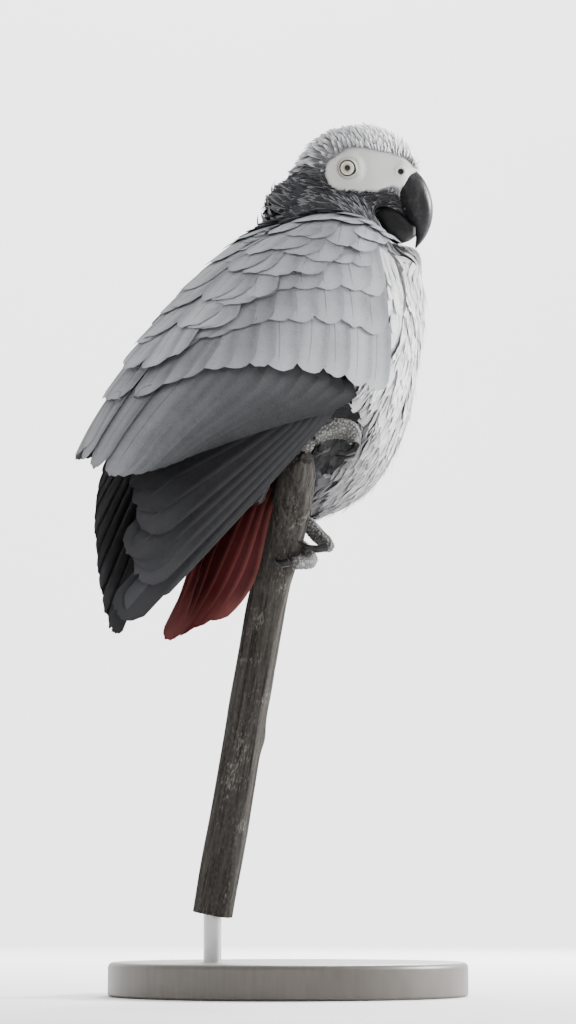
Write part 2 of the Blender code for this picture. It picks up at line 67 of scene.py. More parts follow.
def varied(chance, spread, count):
    """Random factors near 1."""
    return np.exp(chance.normal(0, spread, count))


def smooth_line(*stations):
    """A function of place through the (place, value) stations, with no overshoot between them."""
    xs, ys = np.array(sorted(stations), float).T
    slopes = np.diff(ys) / np.diff(xs)
    before, after = slopes[:-1], slopes[1:]
    bends = np.where(before * after > 0, 2 * before * after / np.where(before + after == 0, 1, before + after), 0)
    tangents = np.concatenate([slopes[:1], bends, slopes[-1:]])

    def value(x):
        x = np.clip(np.asarray(x, float), xs[0], xs[-1])
        i = np.clip(np.searchsorted(xs, x, side="right") - 1, 0, len(xs) - 2)
        h = xs[i + 1] - xs[i]
        t = (x - xs[i]) / h
        return (
            (2 * t**3 - 3 * t**2 + 1) * ys[i]
            + (t**3 - 2 * t**2 + t) * h * tangents[i]
            + (3 * t**2 - 2 * t**3) * ys[i + 1]
            + (t**3 - t**2) * h * tangents[i + 1]
        )

    return value


def step(x, low, high):
    """0 below low, 1 above high, and smooth between."""
    t = np.clip((np.asarray(x, float) - low) / (high - low), 0, 1)
    return t * t * (3 - 2 * t)


def turn_matrix(axis, degrees):
    c, s = math.cos(math.radians(degrees)), math.sin(math.radians(degrees))
    i, j = {"X": (1, 2), "Y": (2, 0), "Z": (0, 1)}[axis]
    matrix = np.eye(3)
    matrix[i, i] = matrix[j, j] = c
    matrix[i, j], matrix[j, i] = -s, s
    return matrix


class Frame:
    """Turns lengths forward, right and up into a place, and back."""

    def __init__(self, centre, yaw, pitch, roll=0.0):
        turn = turn_matrix("Z", yaw) @ turn_matrix("Y", -pitch) @ turn_matrix("X", roll)
        self.centre = np.array(centre, float)
        self.forward, self.right, self.up = turn @ [1, 0, 0], turn @ [0, -1, 0], turn @ [0, 0, 1]

    def at(self, forward, right, up):
        forward, right, up = np.broadcast_arrays(*(np.asarray(x, float) for x in (forward, right, up)))
        return (
            self.centre
            + forward[..., None] * self.forward
            + right[..., None] * self.right
            + up[..., None] * self.up
        )

    def of(self, places):
        away = places - self.centre
        return away @ self.forward, away @ self.right, away @ self.up


TRUNK_PITCH = 44
TRUNK = Frame((0, 0, 275), 0, TRUNK_PITCH)
HEAD = Frame((35.5, -5, 383.5), -46, 0, 13)


def squared(angle, power):
    """Across and up at an angle round a rounded square, which is a circle at power 2."""
    across, up = np.sin(angle), np.cos(angle)
    reach = (np.abs(across) ** power + np.abs(up) ** power) ** (-1 / power)
    return across * reach, up * reach


class Hull:
    """A body of smooth cross-sections along the trunk's axis."""

    def __init__(self, top, middle, bottom, half_width, power):
        self.lines = [smooth_line(*line) for line in (top, middle, bottom, half_width)]
        self.power = power

    def at(self, station, degrees, side):
        top, middle, bottom, half_width = (line(station) for line in self.lines)
        across, up = squared(np.radians(degrees), self.power)
        rise = np.where(up > 0, top - middle, middle - bottom)
        return TRUNK.at(station, side * across * half_width, middle + up * rise)

    def section(self, places):
        """The station, then how far right and up a place is in its section's sizes, and those sizes."""
        station, right, up = TRUNK.of(places)
        top, middle, bottom, half_width = (line(station) for line in self.lines)
        rise = np.where(up > middle, top - middle, middle - bottom)
        return station, right / half_width, (up - middle) / rise, half_width, rise

    def angle_and_lift(self, places):
        """How far round a place lies from the back's middle, in degrees, and how far outside the hull."""
        _, right, up, half_width, rise = self.section(places)
        size = (np.abs(right) ** self.power + np.abs(up) ** self.power) ** (1 / self.power)
        return np.degrees(np.arctan2(np.abs(right), up)), (size - 1) * np.minimum(half_width, rise)

    def hug(self, side):
        """A function that moves places onto the hull."""
        def moved(places):
            station, right, up, _, _ = self.section(places)
            return self.at(station, np.degrees(np.arctan2(side * right, up)), side)
        return moved

    def surface(self, station, degrees, side):
        """Places and outward normals, from two small steps along and round the hull."""
        place = self.at(station, degrees, side)
        ahead = self.at(station + 0.5, degrees, side) - place
        round_it = self.at(station, degrees + 0.7, side) - place
        return place, unit(np.cross(round_it, ahead)) * side


WING = Hull(
    ((-175, 10), (-150, 28), (-125, 45), (-100, 53), (-70, 58), (-40, 61), (0, 62), (35, 60), (60, 54), (80, 42)),
    ((-175, -8), (-145, 8), (-120, 17), (-95, 18), (-70, 14), (-40, 8), (-10, 2), (20, 0), (50, 4), (80, 8)),
    ((-175, -30), (-120, -40), (-60, -48), (0, -52), (50, -42), (80, -28)),
    ((-175, 8), (-145, 20), (-120, 29), (-95, 37), (-70, 44), (-40, 49), (0, 52), (35, 51), (60, 45), (80, 34)),
    2.6,
)
PRIMARY = Hull(
    ((-166, -12), (-145, 8), (-118, 27), (-90, 37), (-60, 44), (-10, 50)),
    ((-166, -14), (-147, -9), (-93, -7), (-15, -5)),
    ((-166, -30), (-90, -45), (-15, -50)),
    ((-166, 5), (-147, 11.5), (-120, 20), (-93, 29), (-60, 39), (-15, 48.5)),
    2.4,
)
# The front and back edges of the rows of wing feathers: place along the trunk, by degrees round the hull.
COVERT_FRONT = smooth_line((5, 44), (25, 60), (45, 65), (65, 65), (85, 56), (100, 30))
COVERT_BACK = smooth_line((5, -90), (25, -76), (45, -60), (60, -46), (72, -32), (84, -18), (94, -8), (100, -2))
SECONDARY_BACK = smooth_line(
    (-16, -115), (8, -122), (25, -125), (39, -122), (51, -113), (58, -104), (67, -92), (78, -77), (83, -58),
    (88, -34), (96, -14),
)
# The secondaries' edge the other way about: degrees, by place along the trunk.
SECONDARY_EDGE = smooth_line(
    (-129, 25), (-124, 39), (-113, 51), (-104, 58), (-92, 67), (-77, 78), (-58, 83), (-34, 88), (-14, 96),
    (0, 101), (60, 101),
)


def over_wing(paths):
    """True for a path that would lie on top of the folded wing, behind its coverts."""
    angle, lift = WING.angle_and_lift(paths)
    station = TRUNK.of(paths)[0]
    round_it = (angle > 8) & (angle < SECONDARY_EDGE(station) - 1)
    return (round_it & (station < COVERT_BACK(angle) - 2) & (lift > -8)).any(1)


# ---------------------------------------------------------------- the line that the coat follows
AXIS_KNOTS = np.array([
    HEAD.at(36, 0, -6), HEAD.at(12, 0, -4), HEAD.at(-14, 0, -8), HEAD.at(-26, 0, -22),
    TRUNK.at(62, 0, 6), TRUNK.at(20, 0, 0), TRUNK.at(-40, 0, 2), TRUNK.at(-110, 0, -8),
])


def curve(knots, steps):
    """Places along a smooth curve through the knots."""
    knots = np.asarray(knots, float)
    ends = np.vstack([2 * knots[0] - knots[1], knots, 2 * knots[-1] - knots[-2]])
    made = []
    for a, b, c, d in zip(ends, ends[1:], ends[2:], ends[3:]):
        for t in np.arange(steps) / steps:
            bend = (2 * a - 5 * b + 4 * c - d) * t**2 + (3 * b - a - 3 * c + d) * t**3
            made.append(0.5 * (2 * b + (c - a) * t + bend))
    return np.array(made + [knots[-1]])


AXIS = curve(AXIS_KNOTS, 8)
AXIS_BLUR = 14.0
AXIS_WAY = unit(np.gradient(AXIS, axis=0))
AXIS_FAR = np.concatenate([[0], np.cumsum(np.linalg.norm(np.diff(AXIS, axis=0), axis=1))])


def on_axis(places):
    """Distance from the bill along the axis, the way of the axis there, and the nearest place on it."""
    away = ((places[:, None] - AXIS[None]) ** 2).sum(-1)
    weight = np.exp(-(away - away.min(1, keepdims=True)) / (2 * AXIS_BLUR**2))
    weight /= weight.sum(1, keepdims=True)
    return weight @ AXIS_FAR, unit(weight @ AXIS_WAY), weight @ AXIS


def unwrap(places):
    """The skin's own unwrap: round the axis, and along it."""
    far, way, near = on_axis(places)
    top = blend(HEAD.up, TRUNK.up, step(far, 40, 90)[:, None])
    top = unit(top - way * (top * way).sum(-1, keepdims=True))
    out = places - near
    angle = np.arctan2((out * np.cross(way, top)).sum(-1), (out * top).sum(-1))
    return np.stack([0.5 + 0.48 * angle / np.pi, 0.02 + 0.95 * far / AXIS_FAR[-1]], -1)


# ---------------------------------------------------------------- meshes
def built(name, verts, faces, material, uvs=None, tints=None):
    """A mesh object from places in millimetres and arrays of faces."""
    mesh = bpy.data.meshes.new(name)
    faces = [np.asarray(block, np.int32) for block in (faces if isinstance(faces, list) else [faces])]
    corners = np.concatenate([block.ravel() for block in faces])
    sizes = np.concatenate([np.full(len(block), block.shape[1]) for block in faces])
    mesh.vertices.add(len(verts))
    mesh.vertices.foreach_set("co", (np.asarray(verts) * MM).astype(np.float32).ravel())
    mesh.loops.add(len(corners))
    mesh.loops.foreach_set("vertex_index", corners)
    mesh.polygons.add(len(sizes))
    mesh.polygons.foreach_set("loop_start", np.concatenate([[0], np.cumsum(sizes)[:-1]]).astype(np.int32))
    mesh.update(calc_edges=True)
    mesh.shade_smooth()
    for layer, values in (uvs or {}).items():
        made = mesh.uv_layers.new(name=layer)
        made.uv.foreach_set("vector", np.asarray(values, np.float32)[corners].ravel())
    if tints is not None:
        made = mesh.attributes.new("tint", "FLOAT_COLOR", "POINT")
        made.data.foreach_set("color", np.broadcast_to(np.asarray(tints, np.float32), (len(verts), 4)).ravel())
    mesh.materials.append(material)
    piece = bpy.data.objects.new(name, mesh)
    bpy.context.scene.collection.objects.link(piece)
    return piece


def arrays(mesh):
    """Places in millimetres, normals and triangles of a mesh."""
    verts = np.empty(len(mesh.vertices) * 3)
    mesh.vertices.foreach_get("co", verts)
    normals = np.empty(len(mesh.vertices) * 3)
    mesh.vertices.foreach_get("normal", normals)
    mesh.calc_loop_triangles()
    tris = np.empty(len(mesh.loop_triangles) * 3, np.int32)
    mesh.loop_triangles.foreach_get("vertices", tris)
    return verts.reshape(-1, 3) / MM, normals.reshape(-1, 3), tris.reshape(-1, 3)


def shell(nodes, voxel, smoothing, balls=()):
    """One closed mesh round copies of the nodes and of balls, with its corners rounded off."""
    source = bmesh.new()
    for node in nodes:
        source.from_mesh(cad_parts[node].data)
    for centre, radius in balls:
        spot = Matrix.Translation(Vector(centre * MM))
        bmesh.ops.create_uvsphere(source, u_segments=24, v_segments=16, radius=radius * MM, matrix=spot)
    bmesh.ops.remove_doubles(source, verts=source.verts[:], dist=0.002 * MM)
    mesh = bpy.data.meshes.new("shell")
    source.to_mesh(mesh)
    source.free()
    piece = bpy.data.objects.new("shell", mesh)
    bpy.context.scene.collection.objects.link(piece)
    change = piece.modifiers.new("remesh", "REMESH")
    change.mode = "VOXEL"
    change.voxel_size = voxel * MM
    change = piece.modifiers.new("smooth", "SMOOTH")
    change.factor = 0.5
    change.iterations = smoothing
    made = bpy.data.meshes.new_from_object(piece.evaluated_get(bpy.context.evaluated_depsgraph_get()))
    bpy.data.objects.remove(piece)
    return made


def grid_faces(rows, columns, close=False):
    """Quads of a grid of places, in rows. A closed grid joins its last column to its first."""
    i, j = np.meshgrid(np.arange(rows - 1), np.arange(columns if close else columns - 1), indexing="ij")
    low, high = i * columns, (i + 1) * columns
    k = (j + 1) % columns
    return np.stack([low + j, high + j, high + k, low + k], -1).reshape(-1, 4)


def tube(rings):
    """Places and outward faces of a closed bar through rings of places, with its ends filled by fans."""
    rows, columns = rings.shape[:2]
    verts = np.vstack([rings.reshape(-1, 3), rings[0].mean(0), rings[-1].mean(0)])
    k = np.arange(columns)
    nexts, last, ends = (k + 1) % columns, (rows - 1) * columns, rows * columns
    low = np.stack([np.full(columns, ends), k, nexts], -1)
    high = np.stack([np.full(columns, ends + 1), last + nexts, last + k], -1)
    faces = [grid_faces(rows, columns, close=True), low, high]
    tris = np.vstack([block[:, [0, k, k + 1]] for block in faces for k in range(1, block.shape[1] - 1)])
    a, b, c = (verts[tris[:, k]] for k in range(3))
    inside_out = (a * np.cross(b, c)).sum() < 0
    return verts, [block[:, ::-1] for block in faces] if inside_out else faces


def lathe(profile, turns, centre=(0, 0)):
    """Rings of places round an upright line, from (radius, height) pairs."""
    x, y = centre
    return np.array([[(x + r * math.cos(t), y + r * math.sin(t), z) for t in turns] for r, z in profile])


def cells(count):
    """Places on the texture sheet for so many feathers, and the size of the patch that each has to itself."""
    across = math.ceil(math.sqrt(count * 2.6))  # patches are 2.6 times as tall as wide
    down = math.ceil(count / across)
    k = np.arange(count)
    size = np.array([1 / across, 1 / down])
    spot = np.stack([(k % across + 0.5) * size[0], (k // across + 0.06) * size[1]], -1)
    return spot, size * [0.86, 0.88]


# ---------------------------------------------------------------- feathers
ROOT_SHARE = 0.3  # how much of a blade is drawn in towards its root
TIP_SPAN = 0.985  # how near the tip's round comes to the blade's edges
SHARP_ANGLE = 1.3  # in radians: the blades' rims are sharp


class Coat:
    """Thin closed blades, collected into one mesh."""

    def __init__(self, seed):
        self.chance = np.random.default_rng(seed)
        self.verts, self.faces, self.vane, self.bake, self.tint, self.count = [], [], [], [], [], 0
        self.patch = 0.003, 0.003

    def share_sheet(self, count):
        """Gives each of the next feathers a patch of its own on the texture sheet."""
        self.spots, self.patch = cells(count)

    def add(self, path, normal, length, half, tint, spot=None, rows=5, columns=5, blunt=1.0, slim=0.0, rag=0.0,
            rise=(0.0, 1.0), bend=1.5, curl=0.0, roll=0.0, camber=0.1, thick=0.12, hug=None):
        """Blades along paths of places. Lengths and half widths are in millimetres.

        spot is each blade's place on the texture sheet, blunt how round the tip is, slim how far it
        narrows, rag how torn it is, rise the height over the path at root and tip, curl what the tip adds
        to it, roll the lift of one edge, camber the middle's, in half widths.
        hug moves the blade's places onto the surface that it lies on, before it is raised.
        """
        count, samples = path.shape[:2]

        def spread(value):
            return np.broadcast_to(np.asarray(value, float), (count,))[:, None, None]

        t = (np.linspace(0, 1, rows) ** 0.85)[None, :, None]
        s = np.linspace(-1, 1, columns)[None, None, :]
        end = 1 - spread(blunt * half / length) * (1 - np.sqrt(1 - (TIP_SPAN * s) ** 2))
        torn = self.chance.normal(0, 1, (count, 1, columns)) * (1 - 0.3 * np.abs(s))
        x = t * (end + torn * spread(rag))
        far = x * (samples - 1)
        i = np.clip(far.astype(int), 0, samples - 2)
        part = (far - i)[..., None]
        n = np.arange(count)[:, None, None]
        across = unit(np.cross(normal, unit(np.gradient(path, axis=1))))
        centre = blend(path[n, i], path[n, i + 1], part)
        up = unit(blend(normal[n, i], normal[n, i + 1], part))
        over = unit(blend(across[n, i], across[n, i + 1], part))
        narrow = np.minimum(1, (0.12 + x) / ROOT_SHARE) ** 0.7 * (1 - spread(slim) * np.clip(x, 0, 1) ** 2.2)
        wide = spread(half) * narrow
        beyond = np.clip(x, 0, 1.2)
        height = (
            spread(rise[0]) + spread(np.asarray(rise[1]) - rise[0]) * beyond**bend + spread(curl) * beyond**4
            + spread(roll) * s + spread(camber) * spread(half) * narrow * (1 - s**2)
        )
        top = centre + over * (wide * s)[..., None]
        top = (hug(top) if hug else top) + up * height[..., None]
        rim = np.zeros((rows, columns), bool)
        rim[[0, -1]] = True
        rim[:, [0, -1]] = True
        inside = np.flatnonzero(~rim)
        under = (top - up * thick).reshape(count, -1, 3)[:, inside]
        each = rows * columns + len(inside)
        lower = np.arange(rows * columns)
        lower[inside] = rows * columns + np.arange(len(inside))
        quads = grid_faces(rows, columns)
        quads = np.vstack([quads, lower[quads][:, ::-1]])
        first = self.count + each * np.arange(count)
        self.faces.append((quads[None] + first[:, None, None]).reshape(-1, 4))
        self.verts.append(np.concatenate([top.reshape(count, -1, 3), under], 1).reshape(-1, 3))
        vane = np.stack(np.broadcast_arrays((s + 1) / 2, t), -1).reshape(-1, 2)
        vane = np.vstack([vane, vane[inside]])
        self.vane.append(np.tile(vane, (count, 1)))
        if spot is None:
            spot, self.spots = self.spots[:count], self.spots[count:]
        self.bake.append((spot[:, None] + (vane[None] - [0.5, 0.0]) * self.patch).reshape(-1, 2))
        self.tint.append(np.repeat(tint, each, 0))
        self.count += each * count

    def piece(self, name, material):
        uvs = {"OFBake": np.vstack(self.bake), "vane": np.vstack(self.vane)}
        made = built(name, np.vstack(self.verts), np.vstack(self.faces), material, uvs, np.vstack(self.tint))
        made.data.uv_layers["OFBake"].active_render = True
        made.data.set_sharp_from_angle(angle=SHARP_ANGLE)
        return made


def tones(chance, count, colour, spread, pale):
    """A colour for each feather, with its own lightness. The fourth number is how pale its rim is."""
    light = varied(chance, spread, count)
    return np.c_[np.asarray(colour).reshape(-1, 3) * light[:, None], np.broadcast_to(pale, (count,))]


# ---------------------------------------------------------------- materials
class Value:
    """A number over the surface, that arithmetic can be written on."""

    def __init__(self, paint, socket):
        self.paint, self.socket = paint, socket

    def maths(self, operation, *others):
        return self.paint.value("Math", enumerate((self, *others)), operation=operation)

    def __add__(self, other):
        return self.maths("ADD", other)

    def __mul__(self, other):
        return self.maths("MULTIPLY", other)

    def __sub__(self, other):
        return self.maths("SUBTRACT", other)

    def __rsub__(self, other):
        return self * -1 + other

    __radd__, __rmul__ = __add__, __mul__

    def step(self, low, high):
        ends = {0: self, "From Min": low, "From Max": high}
        return self.paint.value("MapRange", ends, interpolation_type="SMOOTHSTEP")


class Paint:
    """A material with one Principled shader, whose inputs are set by name."""

    def __init__(self, name, **inputs):
        self.material = bpy.data.materials.new(name)
        self.material.use_nodes = True
        self.graph = self.material.node_tree
        self.shader = self.graph.nodes["Principled BSDF"]
        self.set(**inputs)

    def join(self, socket, value):
        """Links a value to a socket, or sets a plain number or colour on it."""
        value = value.socket if isinstance(value, Value) else value
        if isinstance(value, bpy.types.NodeSocket):
            self.graph.links.new(value, socket)
        elif socket.type == "RGBA":
            socket.default_value = (*value[:3], 1)
        else:
            socket.default_value = value

    def set(self, **inputs):
        for name, value in inputs.items():
            self.join(self.shader.inputs[name.replace("_", " ")], value)

    def node(self, kind, inputs=(), **settings):
        """The outputs of a new node."""
        made = self.graph.nodes.new("ShaderNode" + kind)
        for key, value in settings.items():
            setattr(made, key, value)
        for key, value in dict(inputs).items():
            self.join(made.inputs[key], value)
        return made.outputs

    def value(self, kind, inputs, **settings):
        return Value(self, self.node(kind, inputs, **settings)[0])

    def mix(self, share, one, two, kind="MIX"):
        """Colours, mixed by a share."""
        return self.node("Mix", {0: share, 6: one, 7: two}, data_type="RGBA", blend_type=kind)[2]

    def shaded(self, colour, shade):
        """A colour times a shade."""
        return self.mix(1.0, colour, self.node("CombineColor", {0: shade, 1: shade, 2: shade})[0], "MULTIPLY")

    def tint(self):
        """The mesh's own colour, and how pale a feather's rim is or how dusty a surface."""
        made = self.node("Attribute", attribute_name="tint")
        return made["Color"], Value(self, made["Alpha"])

    def vane(self):
        """Place across and along a feather, from 0 to 1."""
        across, along, _ = self.node("SeparateXYZ", {0: self.node("UVMap", uv_map="vane")[0]})
        return Value(self, across), Value(self, along)

    def place(self, stretch=(1, 1, 1), turn=(0, 0, 0)):
        """Object coordinates in a frame turned by turn, then scaled by stretch."""
        spot = self.node("TexCoord")["Object"]
        sizes = tuple(1 / value for value in stretch)
        return self.node("Mapping", {0: spot, "Scale": sizes, "Rotation": turn}, vector_type="TEXTURE")[0]

    def noise(self, scale, detail, *place):
        return self.value("TexNoise", {"Vector": self.place(*place), "Scale": scale, "Detail": detail})

    def bump(self, height, strength, distance):
        ends = {"Strength": strength, "Distance": distance * MM, "Height": height}
        self.set(Normal=self.node("Bump", ends)[0])


def feather_paint(name, barbs, shaft, shaft_tone, rim_tone, mottle, shine):
    """Vanes with a shaft, slanting barbs and a rim. barbs is how many there are along a feather."""
    paint = Paint(name, Roughness=0.72, Specular_IOR_Level=shine)
    tint, pale = paint.tint()
    u, v = paint.vane()
    off = (u - 0.5).maths("ABSOLUTE") * 2
    wander, fine, broad = paint.noise(420, 2), paint.noise(1500, 2), paint.noise(75, 2)
    slant = v * barbs - off * (barbs * 0.22) + wander * 5
    barb = (slant * TURN).maths("SINE")
    shadow = off.step(0.25, 1.0) * 0.50 + (1 - v.step(0.1, 0.85)) * 0.20
    spots = (fine - 0.5) * mottle + (wander - 0.5) * mottle + (broad - 0.5) * 0.35
    colour = paint.shaded(tint, 1.18 + (barb * 0.05 + spots) - shadow)
    colour = paint.mix(off.maths("MAXIMUM", v).step(0.72, 0.97) * pale, colour, rim_tone)
    rib = (1 - off.step(shaft * 0.5, shaft)) * (1 - v.step(0.8, 0.98)) * v.step(0.0, 0.2)
    colour = paint.mix(rib * 0.5, colour, paint.mix(0.6, tint, shaft_tone))
    paint.set(Base_Color=colour)
    paint.bump(barb * 0.25 + rib * 1.4 + fine * 0.5, 0.5, 0.12)
    return paint.material


def plume_paint(name, tip, edge, pale_tone, streaks=0.0):
    """Small loose feathers: how much of the pale tone lies on the tip and the side edges, and how strong the fine
    streaks along the trunk are, and with them the painted shade at each feather's root."""
    paint = Paint(name, Roughness=0.8, Specular_IOR_Level=0.08)
    tint, pale = paint.tint()
    u, v = paint.vane()
    off = (u - 0.5).maths("ABSOLUTE") * 2
    fine = paint.noise(1900, 2)
    barb = ((v * 13 - off * 3.5 + fine * 2.5) * TURN).maths("SINE")
    along = (0, math.radians(-TRUNK_PITCH), 0)
    hair = paint.noise(1100, 3, (0.09, 1, 1), along) + paint.noise(330, 2, (0.12, 1, 1), along) - 1
    shadow = (1 - v.step(0.1, 0.9)) * (streaks * 0.35)
    colour = paint.shaded(tint, 1 + (barb * 0.05 + (fine - 0.5) * 0.3 + hair * streaks) - shadow)
    share = (v + (fine - 0.5) * 0.25).step(0.45, 1.0) * tip
    share = share.maths("MAXIMUM", (off + (fine - 0.5) * 0.2).step(0.74, 0.98) * edge)
    paint.set(Base_Color=paint.mix(share * pale, colour, pale_tone))
    paint.bump(barb * 0.3 + fine * 0.4, 0.4, 0.1)
    return paint.material


CROWN_FEATHER = plume_paint("crown_feather", 1.0, 0.45, (0.78, 0.785, 0.80))
RUFF_FEATHER = plume_paint("ruff_feather", 0.40, 1.0, (0.60, 0.61, 0.63))
DOWN_FEATHER = plume_paint("down_feather", 0.7, 0.5, (0.74, 0.74, 0.755), 0.85)
BODY_FEATHER = feather_paint("body_feather", 9, 0.06, (0.10, 0.10, 0.11), (0.55, 0.56, 0.59), 0.5, 0.05)
WING_FEATHER = feather_paint("wing_feather", 34, 0.05, (0.05, 0.05, 0.055), (0.50, 0.51, 0.545), 0.26, 0.05)
DARK_FEATHER = feather_paint("dark_feather", 70, 0.05, (0.10, 0.095, 0.095), (0.08, 0.08, 0.085), 0.35, 0.07)
TAIL_FEATHER = feather_paint("tail_feather", 60, 0.06, (0.30, 0.13, 0.11), (0.40, 0.13, 0.11), 0.35, 0.10)


# ---------------------------------------------------------------- the skin
EYE_RADIUS, EYE_SPREAD, EYE_FORWARD, EYE_UP = 5.6, 16.0, -0.8, -0.8
LID_OPENING = 3.55
EYE_CORNER = 0.45  # how far the front corner of the lids is drawn out
NOSTRIL = (24.0, -2.2)
HEAD_HALF = 30  # places farther right or left than this are not on the head
# Edges of the naked face, and of the lower bill's side, by place forward on the head.
BARE_TOP = smooth_line((-11.5, -3), (-10, 1.5), (-6.4, 4.6), (2.5, 8.6), (15.6, 6.9), (22, 5.6), (27, 3), (31, -1))
BARE_LOW = smooth_line(
    (-11.5, -3), (-10.4, -5.5), (-8.0, -9.0), (-1.7, -11.4), (12.6, -11.4), (17, -10), (20.5, -9.2),
    (23.2, -9.8), (24.4, -15.0), (28, -17.0),
)
BILL_TOP = smooth_line((12, -17.0), (19, -17.6), (23, -19.2), (27.4, -23.2), (31.2, -27.0))
BILL_BOTTOM = smooth_line((12, -25.5), (15, -30.0), (18.4, -33.6), (23, -35.8), (28, -34.6), (31.2, -32.4))


def from_eye(forward, up):
    return np.hypot(forward - EYE_FORWARD, up - EYE_UP)


def from_nostril(forward, up):
    return np.hypot(forward - NOSTRIL[0], up - NOSTRIL[1])


def patchy(places, scale, seed):
    """Smooth lightness over the body, mostly between -1 and 1."""
    ways = np.random.default_rng(seed).normal(0, 1 / scale, (7, 3))
    turns = np.random.default_rng(seed + 1).random(7) * TURN
    return np.sin(places @ ways.T + turns).sum(1) / 3.2


def low_head(places):
    """1 on the cheeks, chin and throat, 0 on the crown and nape."""
    forward, _, up = HEAD.of(places)
    front = step(forward, -2, 10)
    return step(-up - 0.30 * forward - 4.5, -8.5 + 6 * front, 8.5 - 6 * front)


def over_bill(paths):
    """True for a path that would cross the side of the lower bill."""
    forward, _, up = HEAD.of(paths)
    above, below = up - BILL_BOTTOM(forward), BILL_TOP(forward) - up
    return ((forward > 14) & (forward < 40) & (below > 0.6) & (above > 0.6)).any(1)


def bare_gap(places):
    """How far a place lies inside the edge of the naked face, in millimetres, and below 0 outside it."""
    forward, right, up = HEAD.of(places)
    inside = np.minimum(np.minimum(BARE_TOP(forward) - up, up - BARE_LOW(forward)), forward + 11.3)
    ragged = step(-up - 0.5 * forward, 3, 9) * (1 - step(forward, 15, 19))
    inside = inside + (0.15 + 0.75 * ragged) * patchy(places, 1.0, 3)
    near = (np.abs(right) < HEAD_HALF) & (forward > -24) & (forward < 40) & (up > -30)
    return np.where(near, inside, -20)


def bare(places):
    """1 on the naked face and cere, 0 under the coat, and a little above 0 by the rim."""
    return step(bare_gap(places), -0.8, 0.8)


def under_wing(places, margin):
    """True where the wing's coverts lie over the skin, by more than a margin from their front."""
    angle, lift = WING.angle_and_lift(places)
    station = TRUNK.of(places)[0]
    behind = (angle > 80) & (station < COVERT_BACK(angle) - 4)
    return (lift > -9) & (angle > 4) & (angle < 101) & (station < COVERT_FRONT(angle) - margin) & ~behind


def nape(places):
    """1 on the back of the neck, where the feathers stand out as spikes."""
    return step(-HEAD.of(places)[0], 15, 29) * (1 - step(on_axis(places)[0], 70, 96))


def skin_depth(places):
    """How far the skin lies under the CAD's surface, which is the coat's."""
    depth = smooth_line((0, 0.5), (30, 1.3), (60, 2.2), (95, 3.6), (150, 4.6), (230, 4.2))(on_axis(places)[0])
    depth = np.where(under_wing(places, 0), 3.2, depth + 3.8 * nape(places))
    return blend(depth, 0.1, bare(places))


def eye_ring(forward, up):
    """Distance from the eye's centre, shortened towards the lids' front corner, low and forward."""
    x, y = forward - EYE_FORWARD, up - EYE_UP
    far = np.hypot(x, y)
    return far - EYE_CORNER * hump(np.arctan2(y, x), -0.45, 0.42) * step(far, 1.8, 3.6)


def face_form(places):
    """Pushes the skin into lids, cere and nostrils, as a new place for each old one."""
    forward, right, up = HEAD.of(places)
    out = np.abs(right)
    ring = eye_ring(forward, up)
    ball = EYE_SPREAD + np.sqrt(np.maximum(EYE_RADIUS**2 - ring**2, 0))
    rim = EYE_SPREAD + math.sqrt(EYE_RADIUS**2 - LID_OPENING**2) + 0.45
    past = ring - LID_OPENING
    folds = 0.13 * np.cos(2 * np.pi * (past - 0.45) / 1.05) * np.exp(-np.abs(past) / 2.4)
    lid = blend(out, rim, 1 - step(ring, LID_OPENING, 9.0)) + folds * (past > 0)
    lid = blend(ball - 0.8, lid, step(ring, LID_OPENING - 0.25, LID_OPENING + 0.3))
    out = np.where((ring < 9.5) & (out > 8), lid, out)
    hole = np.hypot(forward - NOSTRIL[0], (up - NOSTRIL[1]) * 1.05)
    swell = 1.1 * hump(forward, 26.5, 4.5) * step(up, -12, -7)
    dent = -2.6 * (1 - step(hole, 0.9, 1.75)) + 0.35 * hump(hole, 2.2, 0.7)
    out = out + (swell + dent) * (forward > 14) * (out > 3)
    return HEAD.at(forward, np.sign(right) * out, up)


def make_skin():
    """The places and triangles of the skin, finer round the eyes and nostrils."""
    gape = [(HEAD.at(20.4, 0, -16.4), 7.3), (HEAD.at(24.0, 0, -20.6), 5.0)]
    mesh = shell(["trunk", "neck", "head", "wing_right_coverts", "wing_left_coverts"], 1.5, 14, gape)
    verts, normals, _ = arrays(mesh)
    verts = verts - normals * skin_depth(verts)[:, None]
    mesh.vertices.foreach_set("co", (verts * MM).astype(np.float32).ravel())
    form = bmesh.new()
    form.from_mesh(mesh)
    bpy.data.meshes.remove(mesh)
    for reach in (14.0, 6.4, 4.6):
        places = np.array([vert.co for vert in form.verts]) / MM
        forward, right, up = HEAD.of(places)
        near = (from_eye(forward, up) < reach) | (from_nostril(forward, up) < reach * 0.6)
        near |= (reach > 10) & (bare(places) > 0.1)
        near &= (np.abs(right) > 4) & (np.abs(right) < HEAD_HALF)
        edges = [edge for edge in form.edges if near[edge.verts[0].index] and near[edge.verts[1].index]]
        bmesh.ops.subdivide_edges(form, edges=edges, cuts=1, use_grid_fill=True)
        form.verts.index_update()
    bmesh.ops.triangulate(form, faces=form.faces[:])
    mesh = bpy.data.meshes.new("skin_form")
    form.to_mesh(mesh)
    form.free()
    verts, _, tris = arrays(mesh)
    forward, right, up = HEAD.of(verts)
    near = ((bare(verts) > 0.02) | (from_eye(forward, up) < 5)) & (np.abs(right) < HEAD_HALF)
    return np.where(near[:, None], face_form(verts), verts), tris


